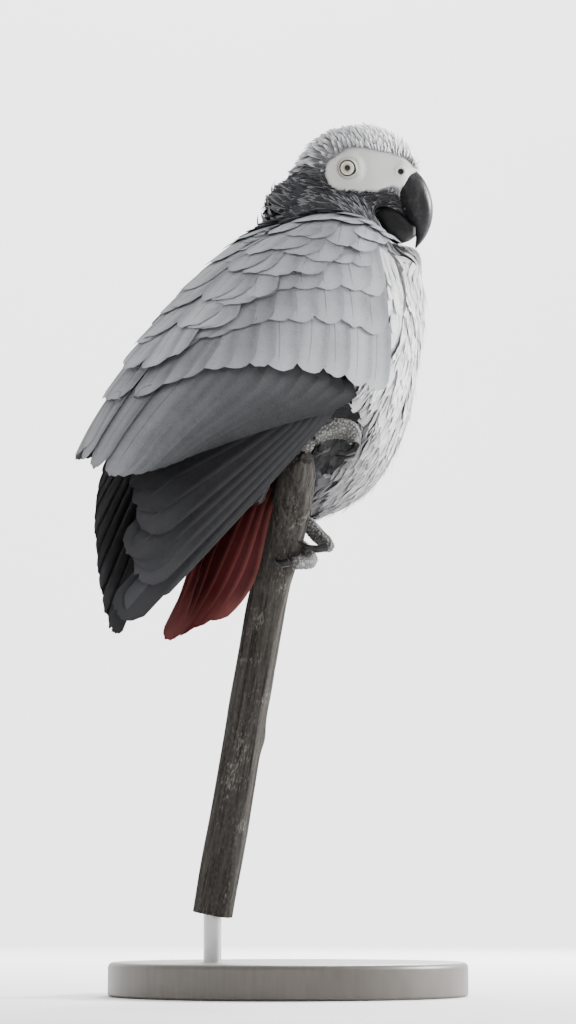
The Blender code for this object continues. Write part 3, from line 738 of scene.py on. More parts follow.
def skin_paint():
    paint = Paint("skin", Roughness=0.62, Specular_IOR_Level=0.35)
    tint, _ = paint.tint()
    fine, broad = paint.noise(1400, 4), paint.noise(160, 3)
    paint.set(Base_Color=paint.shaded(tint, 1 + ((fine - 0.5) * 0.16 + (broad - 0.5) * 0.14)))
    wrinkle = paint.value("TexVoronoi", {"Vector": paint.place((1, 1, 2.2)), "Scale": 900})
    paint.bump(wrinkle * 0.6 + fine * 0.6, 0.35, 0.18)
    return paint.material


SKIN_VERTS, SKIN_TRIS = make_skin()
LEG_REACH = 46
# LEG_SHADE is partly the thighs' darker grey and partly painted shade round the legs.
LEG_SHADE = 0.74  # how much darker the coat is at the legs
LEGS = [arrays(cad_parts[f"leg_{word}"].data)[0].mean(0) for word in ("right", "left")]


def by_legs(places):
    """1 at the legs, falling away from them. The coat darkens by it, partly as the vent and thighs are darker grey
    than the breast, partly as painted shade round the legs.
    """
    return sum(hump(np.linalg.norm(places - leg, axis=1), 0, LEG_REACH) for leg in LEGS).clip(0, 1)


def skin_tints(places):
    """The skin's colours: pale face, dark lid rim, the nostril's opening near black as painted shade of the hole, and
    under the coat its own darker base, darker still as painted shade under the throat and round the legs.
    """
    forward, right, up = HEAD.of(places)
    ring, out = eye_ring(forward, up), np.abs(right)
    face = np.array([0.50, 0.492, 0.48])
    throat = low_head(places) * (out < HEAD_HALF) * (up > -45)
    far = on_axis(places)[0]
    trunk = step(far, 98, 125) * (1 - step(far, 195, 225)) * (1 - step(by_legs(places), 0.02, 0.25))
    # painted shade: the skin is darker under the throat's coat and round the legs
    shadow = np.maximum(0.88 * throat, 0.68 * step(by_legs(places), 0.5, 0.9))
    under = (np.array([0.16, 0.16, 0.17]) + 0.28 * trunk[:, None]) * (1 - shadow[:, None])
    colour = under + bare(places)[:, None] * (face - under)
    head = (out > 8) & (out < HEAD_HALF)
    lids = np.maximum(head * hump(ring, LID_OPENING, 0.42) * 0.9, head * 0.22 * hump(ring, 4.9, 0.5))
    # painted shade: the nostril's opening is near black, standing in for the depth of the hole
    hole = (1 - step(from_nostril(forward, up), 1.0, 1.7)) * (out < 20) * 0.95 * (forward > 14)
    colour = blend(colour, 0.03, np.maximum(lids, hole)[:, None])
    return np.c_[colour, np.zeros(len(places))]


skin = built("skin", SKIN_VERTS, SKIN_TRIS, skin_paint(), tints=skin_tints(SKIN_VERTS))
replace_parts(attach(skin, "root"), "trunk", "neck", "head")
SKIN_TREE = BVHTree.FromPolygons(SKIN_VERTS.tolist(), SKIN_TRIS.tolist())


# ---------------------------------------------------------------- coat on the skin
def scattered(chance, spacing, keep, tries, verts, tris):
    """Random places on a surface, each farther from the others than its own spacing, and their normals."""
    a, b, c = (verts[tris[:, k]] for k in range(3))
    middle = (a + b + c) / 3
    facing = np.cross(b - a, c - a)
    weight = np.linalg.norm(facing, axis=1) * keep(middle) / spacing(middle) ** 2
    pick = chance.choice(len(tris), tries, p=weight / weight.sum())
    u, v = chance.random((2, tries))
    flip = u + v > 1
    u, v = np.where(flip, 1 - u, u), np.where(flip, 1 - v, v)
    places = a[pick] + (b[pick] - a[pick]) * u[:, None] + (c[pick] - a[pick]) * v[:, None]
    apart = spacing(places) ** 2
    kept, chosen = np.empty((tries, 3)), []
    for i in range(tries):
        if chosen and ((kept[:len(chosen)] - places[i]) ** 2).sum(1).min() < apart[i]:
            continue
        kept[len(chosen)] = places[i]
        chosen.append(i)
    return places[chosen], unit(facing[pick][chosen])


def even(value):
    """The same value everywhere."""
    return lambda places: np.full(len(places), value)


def lie(places):
    """The way the coat lies: tailwards, a little down on the belly, and fanned out round the head."""
    far, way, _ = on_axis(places)
    forward, right, up = HEAD.of(places)
    brow = step(up, 2, 8) * (1 - step(up, 15, 19)) * step(forward, -16, -4)
    low = 1 - step(up, -16, -2)
    head = -HEAD.forward * (1 - 0.45 * brow)[:, None] + HEAD.up * (0.95 * brow + 0.42 * low)[:, None]
    head = head + HEAD.right * (np.sign(right) * 0.15 * step(np.abs(right), 4, 12))[:, None]
    on_head = 1 - step(far - 26 * step(-forward, 6, 22), 60, 88)
    belly = step(-TRUNK.of(places)[2], 8, 40) * step(far, 110, 150)
    body = way + belly[:, None] * np.array([0.0, 0.0, -0.35])
    return unit(blend(unit(body), unit(head), on_head[:, None]))


PATH_STEPS = 5


def laid(roots, normals, length, yaw):
    """Paths from the roots over the skin, along the lie of the coat."""
    way = lie(roots)
    way = unit(way - normals * (way * normals).sum(1, keepdims=True))
    way = way * np.cos(yaw)[:, None] + np.cross(normals, way) * np.sin(yaw)[:, None]
    places, facings = [roots], [normals]
    for _ in range(PATH_STEPS):
        ahead = places[-1] + way * (length / PATH_STEPS)[:, None]
        hits = [SKIN_TREE.find_nearest(Vector(place)) for place in ahead]
        found, turned = (np.array([hit[k] for hit in hits]) for k in (0, 1))
        drift = ((ahead - found) * turned).sum(1, keepdims=True)
        places.append(found + turned * np.clip(drift, 0, 1.0))
        facings.append(unit(facings[-1] * 0.5 + turned))
        way = unit(way - facings[-1] * (way * facings[-1]).sum(1, keepdims=True))
    return np.stack(places, 1), np.stack(facings, 1)


def grow(name, seed, spacing, keep, tries, size, slender, colour, material, stray=0.12, **form):
    """One piece of coat: blades on the skin where keep is above 0, sized by their distance along the axis.

    They are shorter and slimmer by the face and the legs. Those that would cross the bill or the wing,
    or that the trunk bends too sharply under, are left out.
    """
    coat = Coat(seed)
    chance = coat.chance
    roots, normals = scattered(chance, spacing, keep, tries, SKIN_VERTS, SKIN_TRIS)
    count = len(roots)
    far = on_axis(roots)[0]
    by_face = 0.45 + 0.55 * step(-bare_gap(roots), 0.0, 6.0)
    by_leg = 1 - 0.5 * by_legs(roots) ** 5
    length = size(far) * by_face * by_leg * varied(chance, 0.1, count)
    half = slender(far) * by_face**0.5 * by_leg * varied(chance, 0.1, count)
    path, facing = laid(roots, normals, length, chance.normal(0, stray, count))
    on_neck, least_cosine = 112, 0.62  # past the neck, a path may not bend further away from its root
    steady = ((facing * facing[:, :1]).sum(-1).min(1) > least_cosine) | (far < on_neck)
    clear = ~over_bill(path) & ~over_wing(path) & steady
    roots, path, facing, far, length, half = (part[clear] for part in (roots, path, facing, far, length, half))
    form = {key: value(far, chance, roots) if callable(value) else value for key, value in form.items()}
    coat.add(path, facing, length, half, colour(path[:, 3], far, chance), unwrap(roots), **form)
    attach(coat.piece(name, material), "root")


def between(low, high, where=even(True)):
    """For keep: 1 between two distances along the axis, on neither the bare face nor the skin under the
    wings, and only where a test of the places is true."""
    def keep(places):
        far = on_axis(places)[0]
        coated = (bare(places) < 0.3) & ~under_wing(places, 10)
        return 1.0 * (coated & (far > low - 3) & (far < high + 3) & where(places))
    return keep


def mixed(stations):
    """A colour by distance along the axis, from (place, r, g, b) stations."""
    lines = [smooth_line(*[(station[0], station[k]) for station in stations]) for k in (1, 2, 3)]
    return lambda far: np.stack([line(far) for line in lines], -1)


HEAD_TONE = mixed([
    (0, 0.84, 0.84, 0.85), (16, 0.84, 0.84, 0.85), (30, 0.52, 0.52, 0.53), (40, 0.24, 0.24, 0.25),
    (54, 0.085, 0.085, 0.09), (70, 0.030, 0.030, 0.033), (110, 0.020, 0.020, 0.023),
])
BODY_TONE = mixed([
    (80, 0.10, 0.10, 0.11), (96, 0.22, 0.22, 0.23), (112, 0.50, 0.50, 0.515), (150, 0.64, 0.64, 0.655),
    (200, 0.52, 0.52, 0.535), (220, 0.20, 0.19, 0.19), (240, 0.05, 0.035, 0.035), (262, 0.05, 0.012, 0.012),
])


def breast_front(places):
    """1 below the bill's tip, where the pale breast begins."""
    forward, _, up = HEAD.of(places)
    return step(-up, 37, 46) * step(forward, -6, 8)


def head_colour(roots, far, chance):
    """Pale on the forehead, near black on the ruff, where some feathers have a pale shaft and edges."""
    light = np.exp(chance.normal(0, 0.14, len(roots)) + 0.12 * patchy(roots, 9, 5))
    low, front = low_head(roots), breast_front(roots)
    colour = blend(HEAD_TONE(far), np.array([0.022, 0.022, 0.025]), low[:, None])
    colour = light[:, None] * blend(colour, np.array([0.44, 0.44, 0.45]), front[:, None])
    dark = np.maximum(step(far, 34, 74), low) * (1 - front)
    return np.c_[colour, blend(0.85, np.where(chance.random(len(roots)) < 0.30, 0.64, 0.14), dark)]


def pale_share(roots, far):
    """1 on breast and belly, falling to 0 by the legs and the tail."""
    return (1 - step(far, 215, 240)) * (1 - by_legs(roots))


def body_colour(roots, far, chance):
    # darker by the legs: partly their darker grey, partly painted shade
    light = np.exp(chance.normal(0, 0.10, len(roots)) + 0.10 * patchy(roots, 14, 7)) * (1 - LEG_SHADE * by_legs(roots))
    front = breast_front(roots) * (1 - step(far, 110, 130))
    return np.c_[blend(BODY_TONE(far), 0.54, front[:, None]) * light[:, None], 0.4 * pale_share(roots, far)]


def down_colour(roots, far, chance):
    light = 1.08 * np.exp(chance.normal(0, 0.09, len(roots)) + 0.16 * patchy(roots, 5, 8))
    # darker by the legs: partly their darker grey, partly painted shade
    light = light * (1 - LEG_SHADE * by_legs(roots))
    return np.c_[BODY_TONE(far) * light[:, None], 0.6 * (1 - step(far, 215, 240)) * (1 - by_legs(roots))]


def spaced(line):
    """The spacing of roots by distance along the axis, closer by the legs."""
    return lambda places: line(on_axis(places)[0]) * (1 - 0.45 * by_legs(places) ** 5)


def crown_rise(far, chance, roots):
    return -0.1, CROWN_RISE(far) * varied(chance, 0.15, len(far))


def neck_rise(far, chance, roots):
    return -0.2, 1.5 - breast_front(roots) + nape(roots) * 3.6 * chance.random(len(far))


def neck_curl(far, chance, roots):
    return 0.3 + 0.5 * nape(roots) * chance.random(len(far))


def down_rise(far, chance, roots):
    """Most strands lie close, and a few stand out."""
    return 0.1, 0.5 + 2.6 * chance.random(len(far)) ** 3


CROWN_RISE = smooth_line((0, 1.0), (12, 2.2), (40, 2.6), (58, 3.0))
HEAD_SPACING = spaced(smooth_line((0, 1.1), (20, 1.3), (45, 1.7), (70, 2.3), (95, 2.8)))
grow(
    "feathers_crown", 11, HEAD_SPACING, between(0, 58, lambda places: low_head(places) < 0.5), 30000,
    smooth_line((0, 2.6), (8, 3.4), (25, 4.8), (45, 7.0), (60, 10)),
    smooth_line((0, 0.55), (20, 0.85), (40, 1.15), (60, 1.5)), head_colour, CROWN_FEATHER,
    stray=0.2, blunt=1.3, slim=0.45, rag=0.03, rise=crown_rise, bend=1.15, curl=0.25, camber=0.2, thick=0.1,
)
grow(
    "feathers_cheek", 16, even(1.25), between(0, 62, lambda places: low_head(places) >= 0.5), 30000,
    smooth_line((0, 3.5), (20, 5.5), (40, 8), (60, 11)), smooth_line((0, 0.45), (30, 0.6), (60, 0.8)),
    head_colour, RUFF_FEATHER,
    stray=0.10, rows=6, blunt=2.0, slim=0.6, rag=0.02, rise=(-0.1, 1.3), bend=1.2, curl=0.3, camber=0.3,
    thick=0.1,
)
grow(
    "feathers_neck", 12, HEAD_SPACING, between(58, 112), 16000,
    smooth_line((50, 10), (75, 16), (112, 20)), smooth_line((50, 1.4), (80, 1.9), (104, 2.3)),
    head_colour, RUFF_FEATHER,
    stray=0.16, rows=7, columns=7, blunt=2.6, slim=0.7, rag=0.02, rise=neck_rise, bend=1.2, curl=neck_curl,
    camber=0.2,
)


def low_body(places):
    """True on the breast and belly side of the trunk, False on the back."""
    return TRUNK.of(places)[2] < 12


BODY_SPACING = spaced(smooth_line((95, 3.0), (130, 4.4), (200, 5.2), (262, 5.4)))
BODY_SIZES = (
    smooth_line((95, 18), (130, 28), (200, 34), (262, 30)),
    smooth_line((95, 2.0), (130, 3.6), (200, 5.2), (262, 5.0)),
)
BODY_FORM = dict(rows=7, columns=9, blunt=1.3, slim=0.35, rise=(-0.8, 0.45), bend=1.1, curl=0.15, camber=0.05,
                 thick=0.10)
DOWN_SIZES = (smooth_line((95, 14), (150, 20), (262, 24)), even(0.42))
DOWN_FORM = dict(rows=6, columns=3, blunt=2.0, slim=0.8, rag=0.03, rise=down_rise, bend=1.4, curl=0.5, camber=0.3,
                 thick=0.1)
for part, seed, low, high in (("breast", 13, 100, 168), ("belly", 14, 168, 300)):
    here = between(low, high, low_body)
    grow(f"feathers_{part}", seed, BODY_SPACING, here, 14000, *BODY_SIZES, body_colour, DOWN_FEATHER, rag=0.06,
         **BODY_FORM)
    grow(f"down_{part}", seed + 4, even(1.9), here, 14000, *DOWN_SIZES, down_colour, DOWN_FEATHER, **DOWN_FORM)
grow("feathers_back", 15, BODY_SPACING, between(100, 300, lambda places: ~low_body(places)), 12000, *BODY_SIZES,
     body_colour, BODY_FEATHER, rag=0.01, **BODY_FORM)


# ---------------------------------------------------------------- wings
def wing_paths(station, degrees, length, slant, side, slant_root=None, samples=9):
    """Paths over the wing that end at the given tips, and their normals.

    slant turns a feather's tip towards the belly, and slant_root its root, in degrees.
    """
    slant_root = slant if slant_root is None else slant_root
    share = np.linspace(0, 1, samples)
    to_tip = (1 - share)[None] * length[:, None]
    turn = np.radians(blend(slant_root[:, None], slant[:, None], share))
    girth = np.maximum(WING.lines[3](station)[:, None] + 6, 14)
    round_it = np.degrees(to_tip * np.sin(turn) / girth)
    return WING.surface(station[:, None] + to_tip * np.cos(turn), degrees[:, None] - round_it, side)


def add_row(coat, side, tips, sizes, spreads, room, shortest, tone, pale, **form):
    """One row of feathers on the wing.

    sizes are a length and a half width, spreads how much each varies, room how far the roots may pass
    the wing's front, and curl the middle and the spread of what each tip adds.
    """
    station, degrees, slant = tips
    chance, count = coat.chance, len(station)
    room = COVERT_FRONT(np.clip(degrees, 5, 100)) + room - station
    length = np.clip(sizes[0] * varied(chance, spreads[0], count), shortest, np.maximum(room, shortest))
    half = sizes[1] * varied(chance, spreads[1], count)
    path, normal = wing_paths(station, degrees, length, slant, side)
    tint = tones(chance, count, WING_TONE * tone, 0.085, pale)
    form["curl"] = chance.normal(*form["curl"], count)
    coat.add(path, normal, length, half, tint, rows=9, columns=9, camber=0.01, hug=WING.hug(side), **form)


WING_TONE = np.array([0.25, 0.255, 0.27])
SLANT = smooth_line((0, 0), (25, 8), (45, 22), (65, 34), (105, 40))
COVERT_ROWS = (
    # Rows of coverts from the trailing edge forward: how far each row's tips lie before the first's,
    # how many feathers, their length and half width, and the angles that the row spans.
    (0.0, 11, 50, 9.2, (10, 103)),
    (25.0, 10, 46, 10.2, (12, 101)),
    (41.0, 11, 42, 9.8, (12, 100)),
    (55.0, 12, 36, 9.0, (12, 98)),
    (68.0, 13, 31, 8.2, (10, 97)),
    (80.0, 14, 27, 7.4, (9, 96)),
    (91.0, 16, 23, 6.4, (7, 94)),
    (101.0, 18, 19, 5.2, (6, 92)),
    (109.0, 20, 15, 4.0, (5, 90)),
)
SCAPULAR_ROWS = (
    # Place along the trunk, the angles that the row spans, how many feathers, their length and half width.
    (-68, (8, 22), 2, 50, 9.6),
    (-48, (6, 34), 3, 50, 10.8),
    (-27, (8, 42), 4, 50, 11.2),
    (-7, (8, 46), 4, 48, 11.2),
    (12, (9, 52), 4, 44, 10.6),
    (28, (9, 56), 5, 36, 9.6),
    (42, (8, 62), 7, 26, 7.6),
    (53, (8, 66), 10, 16, 5.2),
)


WING_GIRTH = 54  # the mean half width of the wing's hull


def make_coverts(side, word, seed):
    coat = Coat(seed)
    chance = coat.chance
    plans = []
    for number, (before, count, length, half, (low, high)) in enumerate(COVERT_ROWS):
        share = (np.arange(count) + 0.5) / count
        base = low + (high - low) * share + chance.normal(0, 0.5, count)
        slant = SLANT(base) + chance.normal(0, 2.0, count)
        turn = np.radians(SLANT(base))
        station = COVERT_BACK(base) + before * np.cos(turn) + chance.normal(0, 1.4 if number else 0.9, count)
        degrees = base - np.degrees(before * np.sin(turn) / WING_GIRTH)
        keep = (station < COVERT_FRONT(np.clip(degrees, 5, 100)) - 1) & (degrees > 3)
        plans.append(((station[keep], degrees[keep], slant[keep]), (length, half)))
    coat.share_sheet(sum(len(tips[0]) for tips, _ in plans))
    for number, (tips, sizes) in enumerate(plans):
        add_row(
            coat, side, tips, sizes, spreads=(0.05, 0.07), room=2, shortest=6, tone=0.84 + 0.028 * number, pale=0.14,
            blunt=0.95, slim=0.06, rag=0.006, rise=(-1.9 + 0.10 * number, 0.15 + 0.14 * number), bend=1.2,
            curl=(0.0, 0.03), roll=0.55 * side, thick=0.10,
        )
    piece = coat.piece(f"wing_coverts_{word}", WING_FEATHER)
    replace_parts(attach(piece, "root"), f"wing_{word}_coverts")


def make_scapulars(side, word, seed):
    """Broad feathers that hang from the shoulder over the wing's inner edge."""
    coat = Coat(seed)
    chance = coat.chance
    coat.share_sheet(sum(row[2] for row in SCAPULAR_ROWS))
    for number, (station, (low, high), count, *sizes) in enumerate(SCAPULAR_ROWS):
        share = (np.arange(count) + 0.5 + 0.25 * (number % 2)) / (count + 0.25)
        degrees = low + (high - low) * share + chance.normal(0, 1.0, count)
        stations = station + 9 * share + chance.normal(0, 2.2, count)
        slant = 4 + 20 * share + chance.normal(0, 4, count)
        add_row(
            coat, side, (stations, degrees, slant), sizes, spreads=(0.06, 0.08), room=3, shortest=8, tone=1.03,
            pale=0.18, blunt=0.85, slim=0.10, rag=0.012, rise=(-0.6 + 0.1 * number, 1.9 + 0.12 * number), bend=1.1,
            curl=(0.1, 0.1), roll=0.5 * side,
        )
    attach(coat.piece(f"scapulars_{word}", WING_FEATHER), "root")


def make_secondaries(side, word, seed, inner, reach):
    coat = Coat(seed)
    count = 12
    coat.share_sheet(count)
    share = np.linspace(0, 1, count)
    degrees = smooth_line(
        (0, inner + 1), (0.08, inner + 17), (0.16, 26), (0.3, 37), (0.5, 48), (0.75, 58), (1, 66),
    )(share)
    length = smooth_line((0, 78), (0.5, 80), (1, 86))(share)
    half = smooth_line((0, 6.5), (0.12, 9.4), (0.3, 10.2), (0.6, 9.4), (1, 7.5))(share)
    slant = smooth_line((0, -2), (0.2, -2), (0.45, -8), (0.75, -14), (1, -16))(share)
    slant_root = smooth_line((0, -2), (0.3, 0), (0.5, -4), (1, -14))(share)
    path, normal = wing_paths(SECONDARY_BACK(degrees) * reach, degrees, length, slant, side, slant_root, 14)
    # light is painted shade: the outer secondaries, which lie in shade, are made far darker, and their pale rims
    # fainter
    light = smooth_line((0, 0.80), (0.25, 0.60), (0.5, 0.27), (0.75, 0.14), (1, 0.09))(share)
    tint = tones(coat.chance, count, WING_TONE * 0.9 * light[:, None], 0.04, 0.13 * light**1.5)
    coat.add(
        path, normal, length, half, tint, rows=26, columns=15, blunt=1.1, slim=0.3, rag=0.004,
        rise=(-3.0 - 0.08 * np.arange(count), -0.6 - 0.16 * np.arange(count)), bend=1.0, curl=0.2,
        roll=0.22 * side, camber=0.0, hug=WING.hug(side),
    )
    piece = coat.piece(f"secondaries_{word}", WING_FEATHER)
    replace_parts(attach(piece, "root"), f"wing_{word}_secondaries")


PRIMARY_TIPS = {  # places on each folded wing's hull, from the inner feather out
    "right": ((-106, 8), (-113, 18), (-120, 31), (-126, 43), (-137, 40),
              (-138, 53), (-141, 64), (-157, 58), (-153, 79), (-139, 92)),
    "left": ((-98, 30), (-105, 36), (-111, 42), (-117, 48), (-122, 54),
             (-128, 66), (-134, 76), (-139, 86), (-145, 99), (-149, 112)),
}


def make_primaries(side, word, seed, tone, tip_rise):
    coat = Coat(seed)
    count = len(PRIMARY_TIPS[word])
    coat.share_sheet(count)
    share = np.linspace(0, 1, count)
    tip, tip_up = PRIMARY.surface(*np.array(PRIMARY_TIPS[word], float).T, side)
    root, root_up = PRIMARY.surface(-44 + 44 * share, 60 + 21 * share, side)
    along = np.linspace(0, 1, 14)[None, :, None]
    up = unit(blend(root_up[:, None], tip_up[:, None], along))
    path = blend(root[:, None], tip[:, None], along) + up * (5.0 * along * (1 - along))
    length = np.linalg.norm(tip - root, axis=1)
    half = smooth_line((0, 8.5), (0.35, 10.2), (0.6, 10.2), (1, 6.2))(share)
    # tone below 1 is painted shade: the left wing's primaries are dimmed because that wing lies in shade
    tint = tones(coat.chance, count, np.array([0.016, 0.016, 0.018]) * tone, 0.16, 0.25)
    coat.add(
        path, up, length, half, tint, rows=34, columns=15, slim=0.12, rag=0.004,
        rise=(-2.2, tip_rise - 0.30 * np.arange(count)), bend=0.7, roll=0.5 * side, camber=0.05, thick=0.16,
    )
    piece = coat.piece(f"primaries_{word}", DARK_FEATHER)
    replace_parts(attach(piece, "root"), f"wing_{word}_primaries")


# The left wing's primaries get tone 0.4, which is painted shade, because that wing lies in shade behind the bird.
for side, word, seed, inner, reach, tone, tip_rise in (
    (1, "right", 21, -14, 1.0, 1.0, 0.8),
    (-1, "left", 31, 17, 0.88, 0.4, 5.0),
):
    make_coverts(side, word, seed)
    make_scapulars(side, word, seed + 1)
    make_secondaries(side, word, seed + 2, inner, reach)
    make_primaries(side, word, seed + 3, tone, tip_rise)


# ---------------------------------------------------------------- tail
TAIL_RISE = smooth_line((-138, -36), (-110, -28), (-94, -22), (-64, -14), (-36, -10))
TAIL_SPREAD = smooth_line((-138, 7), (-125, 11), (-110, 14), (-94, 15), (-64, 12), (-36, 8))
TAIL_DROP = smooth_line((-138, 1), (-125, 5), (-114, 11), (-94, 20), (-75, 12), (-64, 6), (-36, 3))


def make_tail(seed):
    coat = Coat(seed)
    count = 8
    coat.share_sheet(count)
    place = np.linspace(-1, 1, count) * 0.78
    length = 102 - 26 * place**2
    station = blend(-36, (-36 - length)[:, None], np.linspace(0, 1, 14))
    centre = place[:, None]
    path = TRUNK.at(
        station, 2 + centre * TAIL_SPREAD(station), TAIL_RISE(station) - TAIL_DROP(station) * centre**2,
    )
    slope = 2 * TAIL_DROP(station) * centre / TAIL_SPREAD(station)
    normal = unit(TRUNK.up + TRUNK.right * slope[..., None])
    stack = np.abs(place)
    tint = tones(coat.chance, count, np.array([0.040, 0.004, 0.005]), 0.10, 0.16)
    coat.add(
        path, normal, length, np.full(count, 9.6), tint, rows=26, columns=15, slim=0.25, rag=0.004,
        rise=(-1.2 - 1.5 * stack, 0.3 - 3.2 * stack), bend=1.0, roll=0.4 * np.sign(place), camber=0.03, thick=0.3,
    )
    piece = coat.piece("tail_feathers", TAIL_FEATHER)
    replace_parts(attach(piece, "root"), "tail")


make_tail(41)


# ---------------------------------------------------------------- bill
def ridge_curve(stations, steps):
    return curve([(a, 0.0, b) for a, b in stations], steps)


def horn_paint():
    paint = Paint("horn", Roughness=0.34, Specular_IOR_Level=0.16)
    tint, dusty = paint.tint()
    layers, dust = paint.noise(260, 5, (1, 1, 0.35)), paint.noise(700, 4)
    scratch = paint.noise(1800, 3, (0.25, 0.25, 1.0))
    powder = (layers * 0.6 + dust * 0.4).step(0.42, 0.75)
    paint.set(Base_Color=paint.mix(powder * dusty, tint, (0.16, 0.16, 0.165)), Roughness=powder * 0.30 + 0.30)
    paint.bump(layers + scratch * 0.35 + dust * 0.3, 0.45, 0.25)
    return paint.material


HORN = horn_paint()


def make_upper_bill():
    ridge = ridge_curve([(30.5, -0.5), (35.0, -5.2), (38.2, -12.2), (39.4, -19.0), (38.8, -25.8), (36.0, -32.6),
                         (31.4, -38.2)], 9)
    inside = ridge_curve([(22.5, -14.0), (23.2, -18.0), (25.0, -21.4), (27.4, -24.8), (29.8, -28.2), (31.4, -32.4),
                          (31.0, -37.0)], 9)
    widths = curve([(w, 0, 0) for w in (8.6, 8.3, 7.6, 6.6, 5.2, 3.4, 1.2)], 9)[:, 0]
    across, along = squared(circle(56)[None], 2.2)
    far = np.linspace(0, 1, len(ridge))[:, None]
    keel = 1 + 0.035 * hump(across, 0, 0.28) * (along > 0) * (1 - far)
    middle, reach = (ridge + inside) / 2, (ridge - inside) / 2
    place = middle[:, None] + reach[:, None] * (along * keel)[..., None]
    lip = 1 - 0.10 * hump(along, -0.72, 0.20) * (1 - far)
    verts, faces = tube(HEAD.at(place[..., 0], across * widths[:, None] * lip, place[..., 2]))
    tint = np.tile([0.010, 0.010, 0.011, 0.14], (len(verts), 1))
    tint[:, :3] += step(-HEAD.of(verts)[2], 6, 0)[:, None] * 0.02
    upper = built("bill_horn_upper", verts, faces, HORN, tints=tint)
    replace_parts(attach(upper, "root"), "bill_upper")


def make_lower_bill():
    width = smooth_line((12, 6.6), (18, 8.6), (23, 8.4), (27, 7.2), (31.2, 5.0))
    stations = (12 + 19.2 * (0.5 - 0.5 * np.cos(np.pi * np.linspace(0, 1, 44))))[:, None]
    across, rise = squared(circle(56)[None], 2.6)
    high, low = BILL_TOP(stations), BILL_BOTTOM(stations)
    hollow = -0.9 * np.clip(rise, 0, 1) * (1 - np.abs(across)) * step(stations, 15, 26)
    up = (high + low) / 2 + rise * (high - low) / 2 + hollow
    verts, faces = tube(HEAD.at(stations, across * width(stations), up))
    forward, _, up = HEAD.of(verts)
    middle = (BILL_TOP(forward) + BILL_BOTTOM(forward)) / 2
    # tip is a painted highlight: the lower bill is paler at its tip
    tip = step(forward, 29.6, 30.8) * step(np.abs(up - middle), 3.2, 0.6)
    rim = 0.30 * step(np.abs(up - BILL_TOP(forward) + 0.5), 0.5, 0.1) * step(forward, 19, 23)
    tint = np.tile([0.006, 0.006, 0.0065, 0.04], (len(verts), 1))
    tint[:, :3] += np.maximum(tip, rim)[:, None] * [0.17, 0.165, 0.155]
    lower = built("bill_horn_lower", verts, faces, HORN, tints=tint)
    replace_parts(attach(lower, "root"), "bill_lower")


make_upper_bill()
make_lower_bill()


# ---------------------------------------------------------------- eyes
def eye_paint():
    paint = Paint("eye", Roughness=0.25, Specular_IOR_Level=0.15, Coat_Weight=0.3, Coat_Roughness=0.03)
    tint, _ = paint.tint()
    paint.set(Base_Color=paint.shaded(tint, 0.86 + paint.noise(2400, 3) * 0.28))
    return paint.material


def make_eye(side, word, paint):
    """A ball with its iris facing out, and a clear bulge over it that the coat of the shader stands for."""
    turns = circle(64)[None]
    polar = np.concatenate([np.linspace(0.01, 0.75, 48), np.linspace(0.8, np.pi - 0.01, 24)])[:, None]
    radius = EYE_RADIUS - 0.28 + 0.32 * hump(polar, 0, 0.42)
    across = radius * np.sin(polar)
    out = side * (EYE_SPREAD + radius * np.cos(polar))
    verts, faces = tube(HEAD.at(EYE_FORWARD + across * np.cos(turns), out, EYE_UP + across * np.sin(turns)))
    forward, _, up = HEAD.of(verts)
    ring = from_eye(forward, up)
    streak = 0.06 * np.sin(23 * np.arctan2(up - EYE_UP, forward - EYE_FORWARD) + 3 * np.sin(ring * 2))
    inner, outer = np.array([0.30, 0.285, 0.21]), np.array([0.66, 0.645, 0.52])
    iris = blend(inner, outer, step(ring, 1.3, 2.9)[:, None]) * (1 + streak[:, None])
    rim, pupil = 1 - 0.97 * step(ring, 3.05, 3.3), step(ring, 1.26, 1.42)
    tint = np.c_[iris * rim[:, None] * pupil[:, None] + 0.002, np.zeros(len(ring))]
    piece = built(f"eyeball_{word}", verts, faces, paint, tints=tint)
    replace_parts(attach(piece, "root"), f"eye_{word}")


EYE = eye_paint()
make_eye(1, "right", EYE)
make_eye(-1, "left", EYE)


# ---------------------------------------------------------------- feet
def scale_paint():
    paint = Paint("scaly_skin", Roughness=0.6, Specular_IOR_Level=0.4)
    tint, _ = paint.tint()
    fine, broad = paint.noise(1500, 3), paint.noise(240, 2)
    paint.set(Base_Color=paint.shaded(tint, 0.72 + (fine * 0.3 + broad * 0.3)))
    paint.bump(fine, 0.4, 0.12)
    return paint.material


def domes(roots, normals, size, chance, segments=7):
    """Low round scales, each a closed cap sunk a little into the skin."""
    count = len(roots)
    side = unit(np.cross(normals, np.array([0.31, 0.57, 0.76])))
    over = np.cross(normals, side)
    turns = circle(segments) + chance.random((count, 1)) * TURN
    wobble = (1 + 0.14 * chance.normal(0, 1, (count, segments))) * size[:, None]
    ring = side[:, None] * np.cos(turns)[..., None] + over[:, None] * np.sin(turns)[..., None]
    ring = ring * wobble[..., None]
    low = roots[:, None] + ring - normals[:, None] * 0.12
    high = roots[:, None] + ring * 0.62 + normals[:, None] * (0.30 * size[:, None])[..., None]
    top = roots + normals * (0.40 * size)[:, None]
    foot = roots - normals * 0.2
    verts = np.concatenate([low, high, top[:, None], foot[:, None]], 1)
    k = np.arange(segments)
    j = (k + 1) % segments
    sides = np.stack([k, j, segments + j, segments + k], -1)
    caps = np.stack([segments + k, segments + j, np.full(segments, 2 * segments)], -1)
    soles = np.stack([j, k, np.full(segments, 2 * segments + 1)], -1)
    first = (2 * segments + 2) * np.arange(count)[:, None, None]
    faces = [(block[None] + first).reshape(-1, block.shape[1]) for block in (sides, caps, soles)]
    return verts.reshape(-1, 3), faces


SCALE_SKIN = scale_paint()
TOES = ("front_inner", "front_outer", "back_inner", "back_outer")


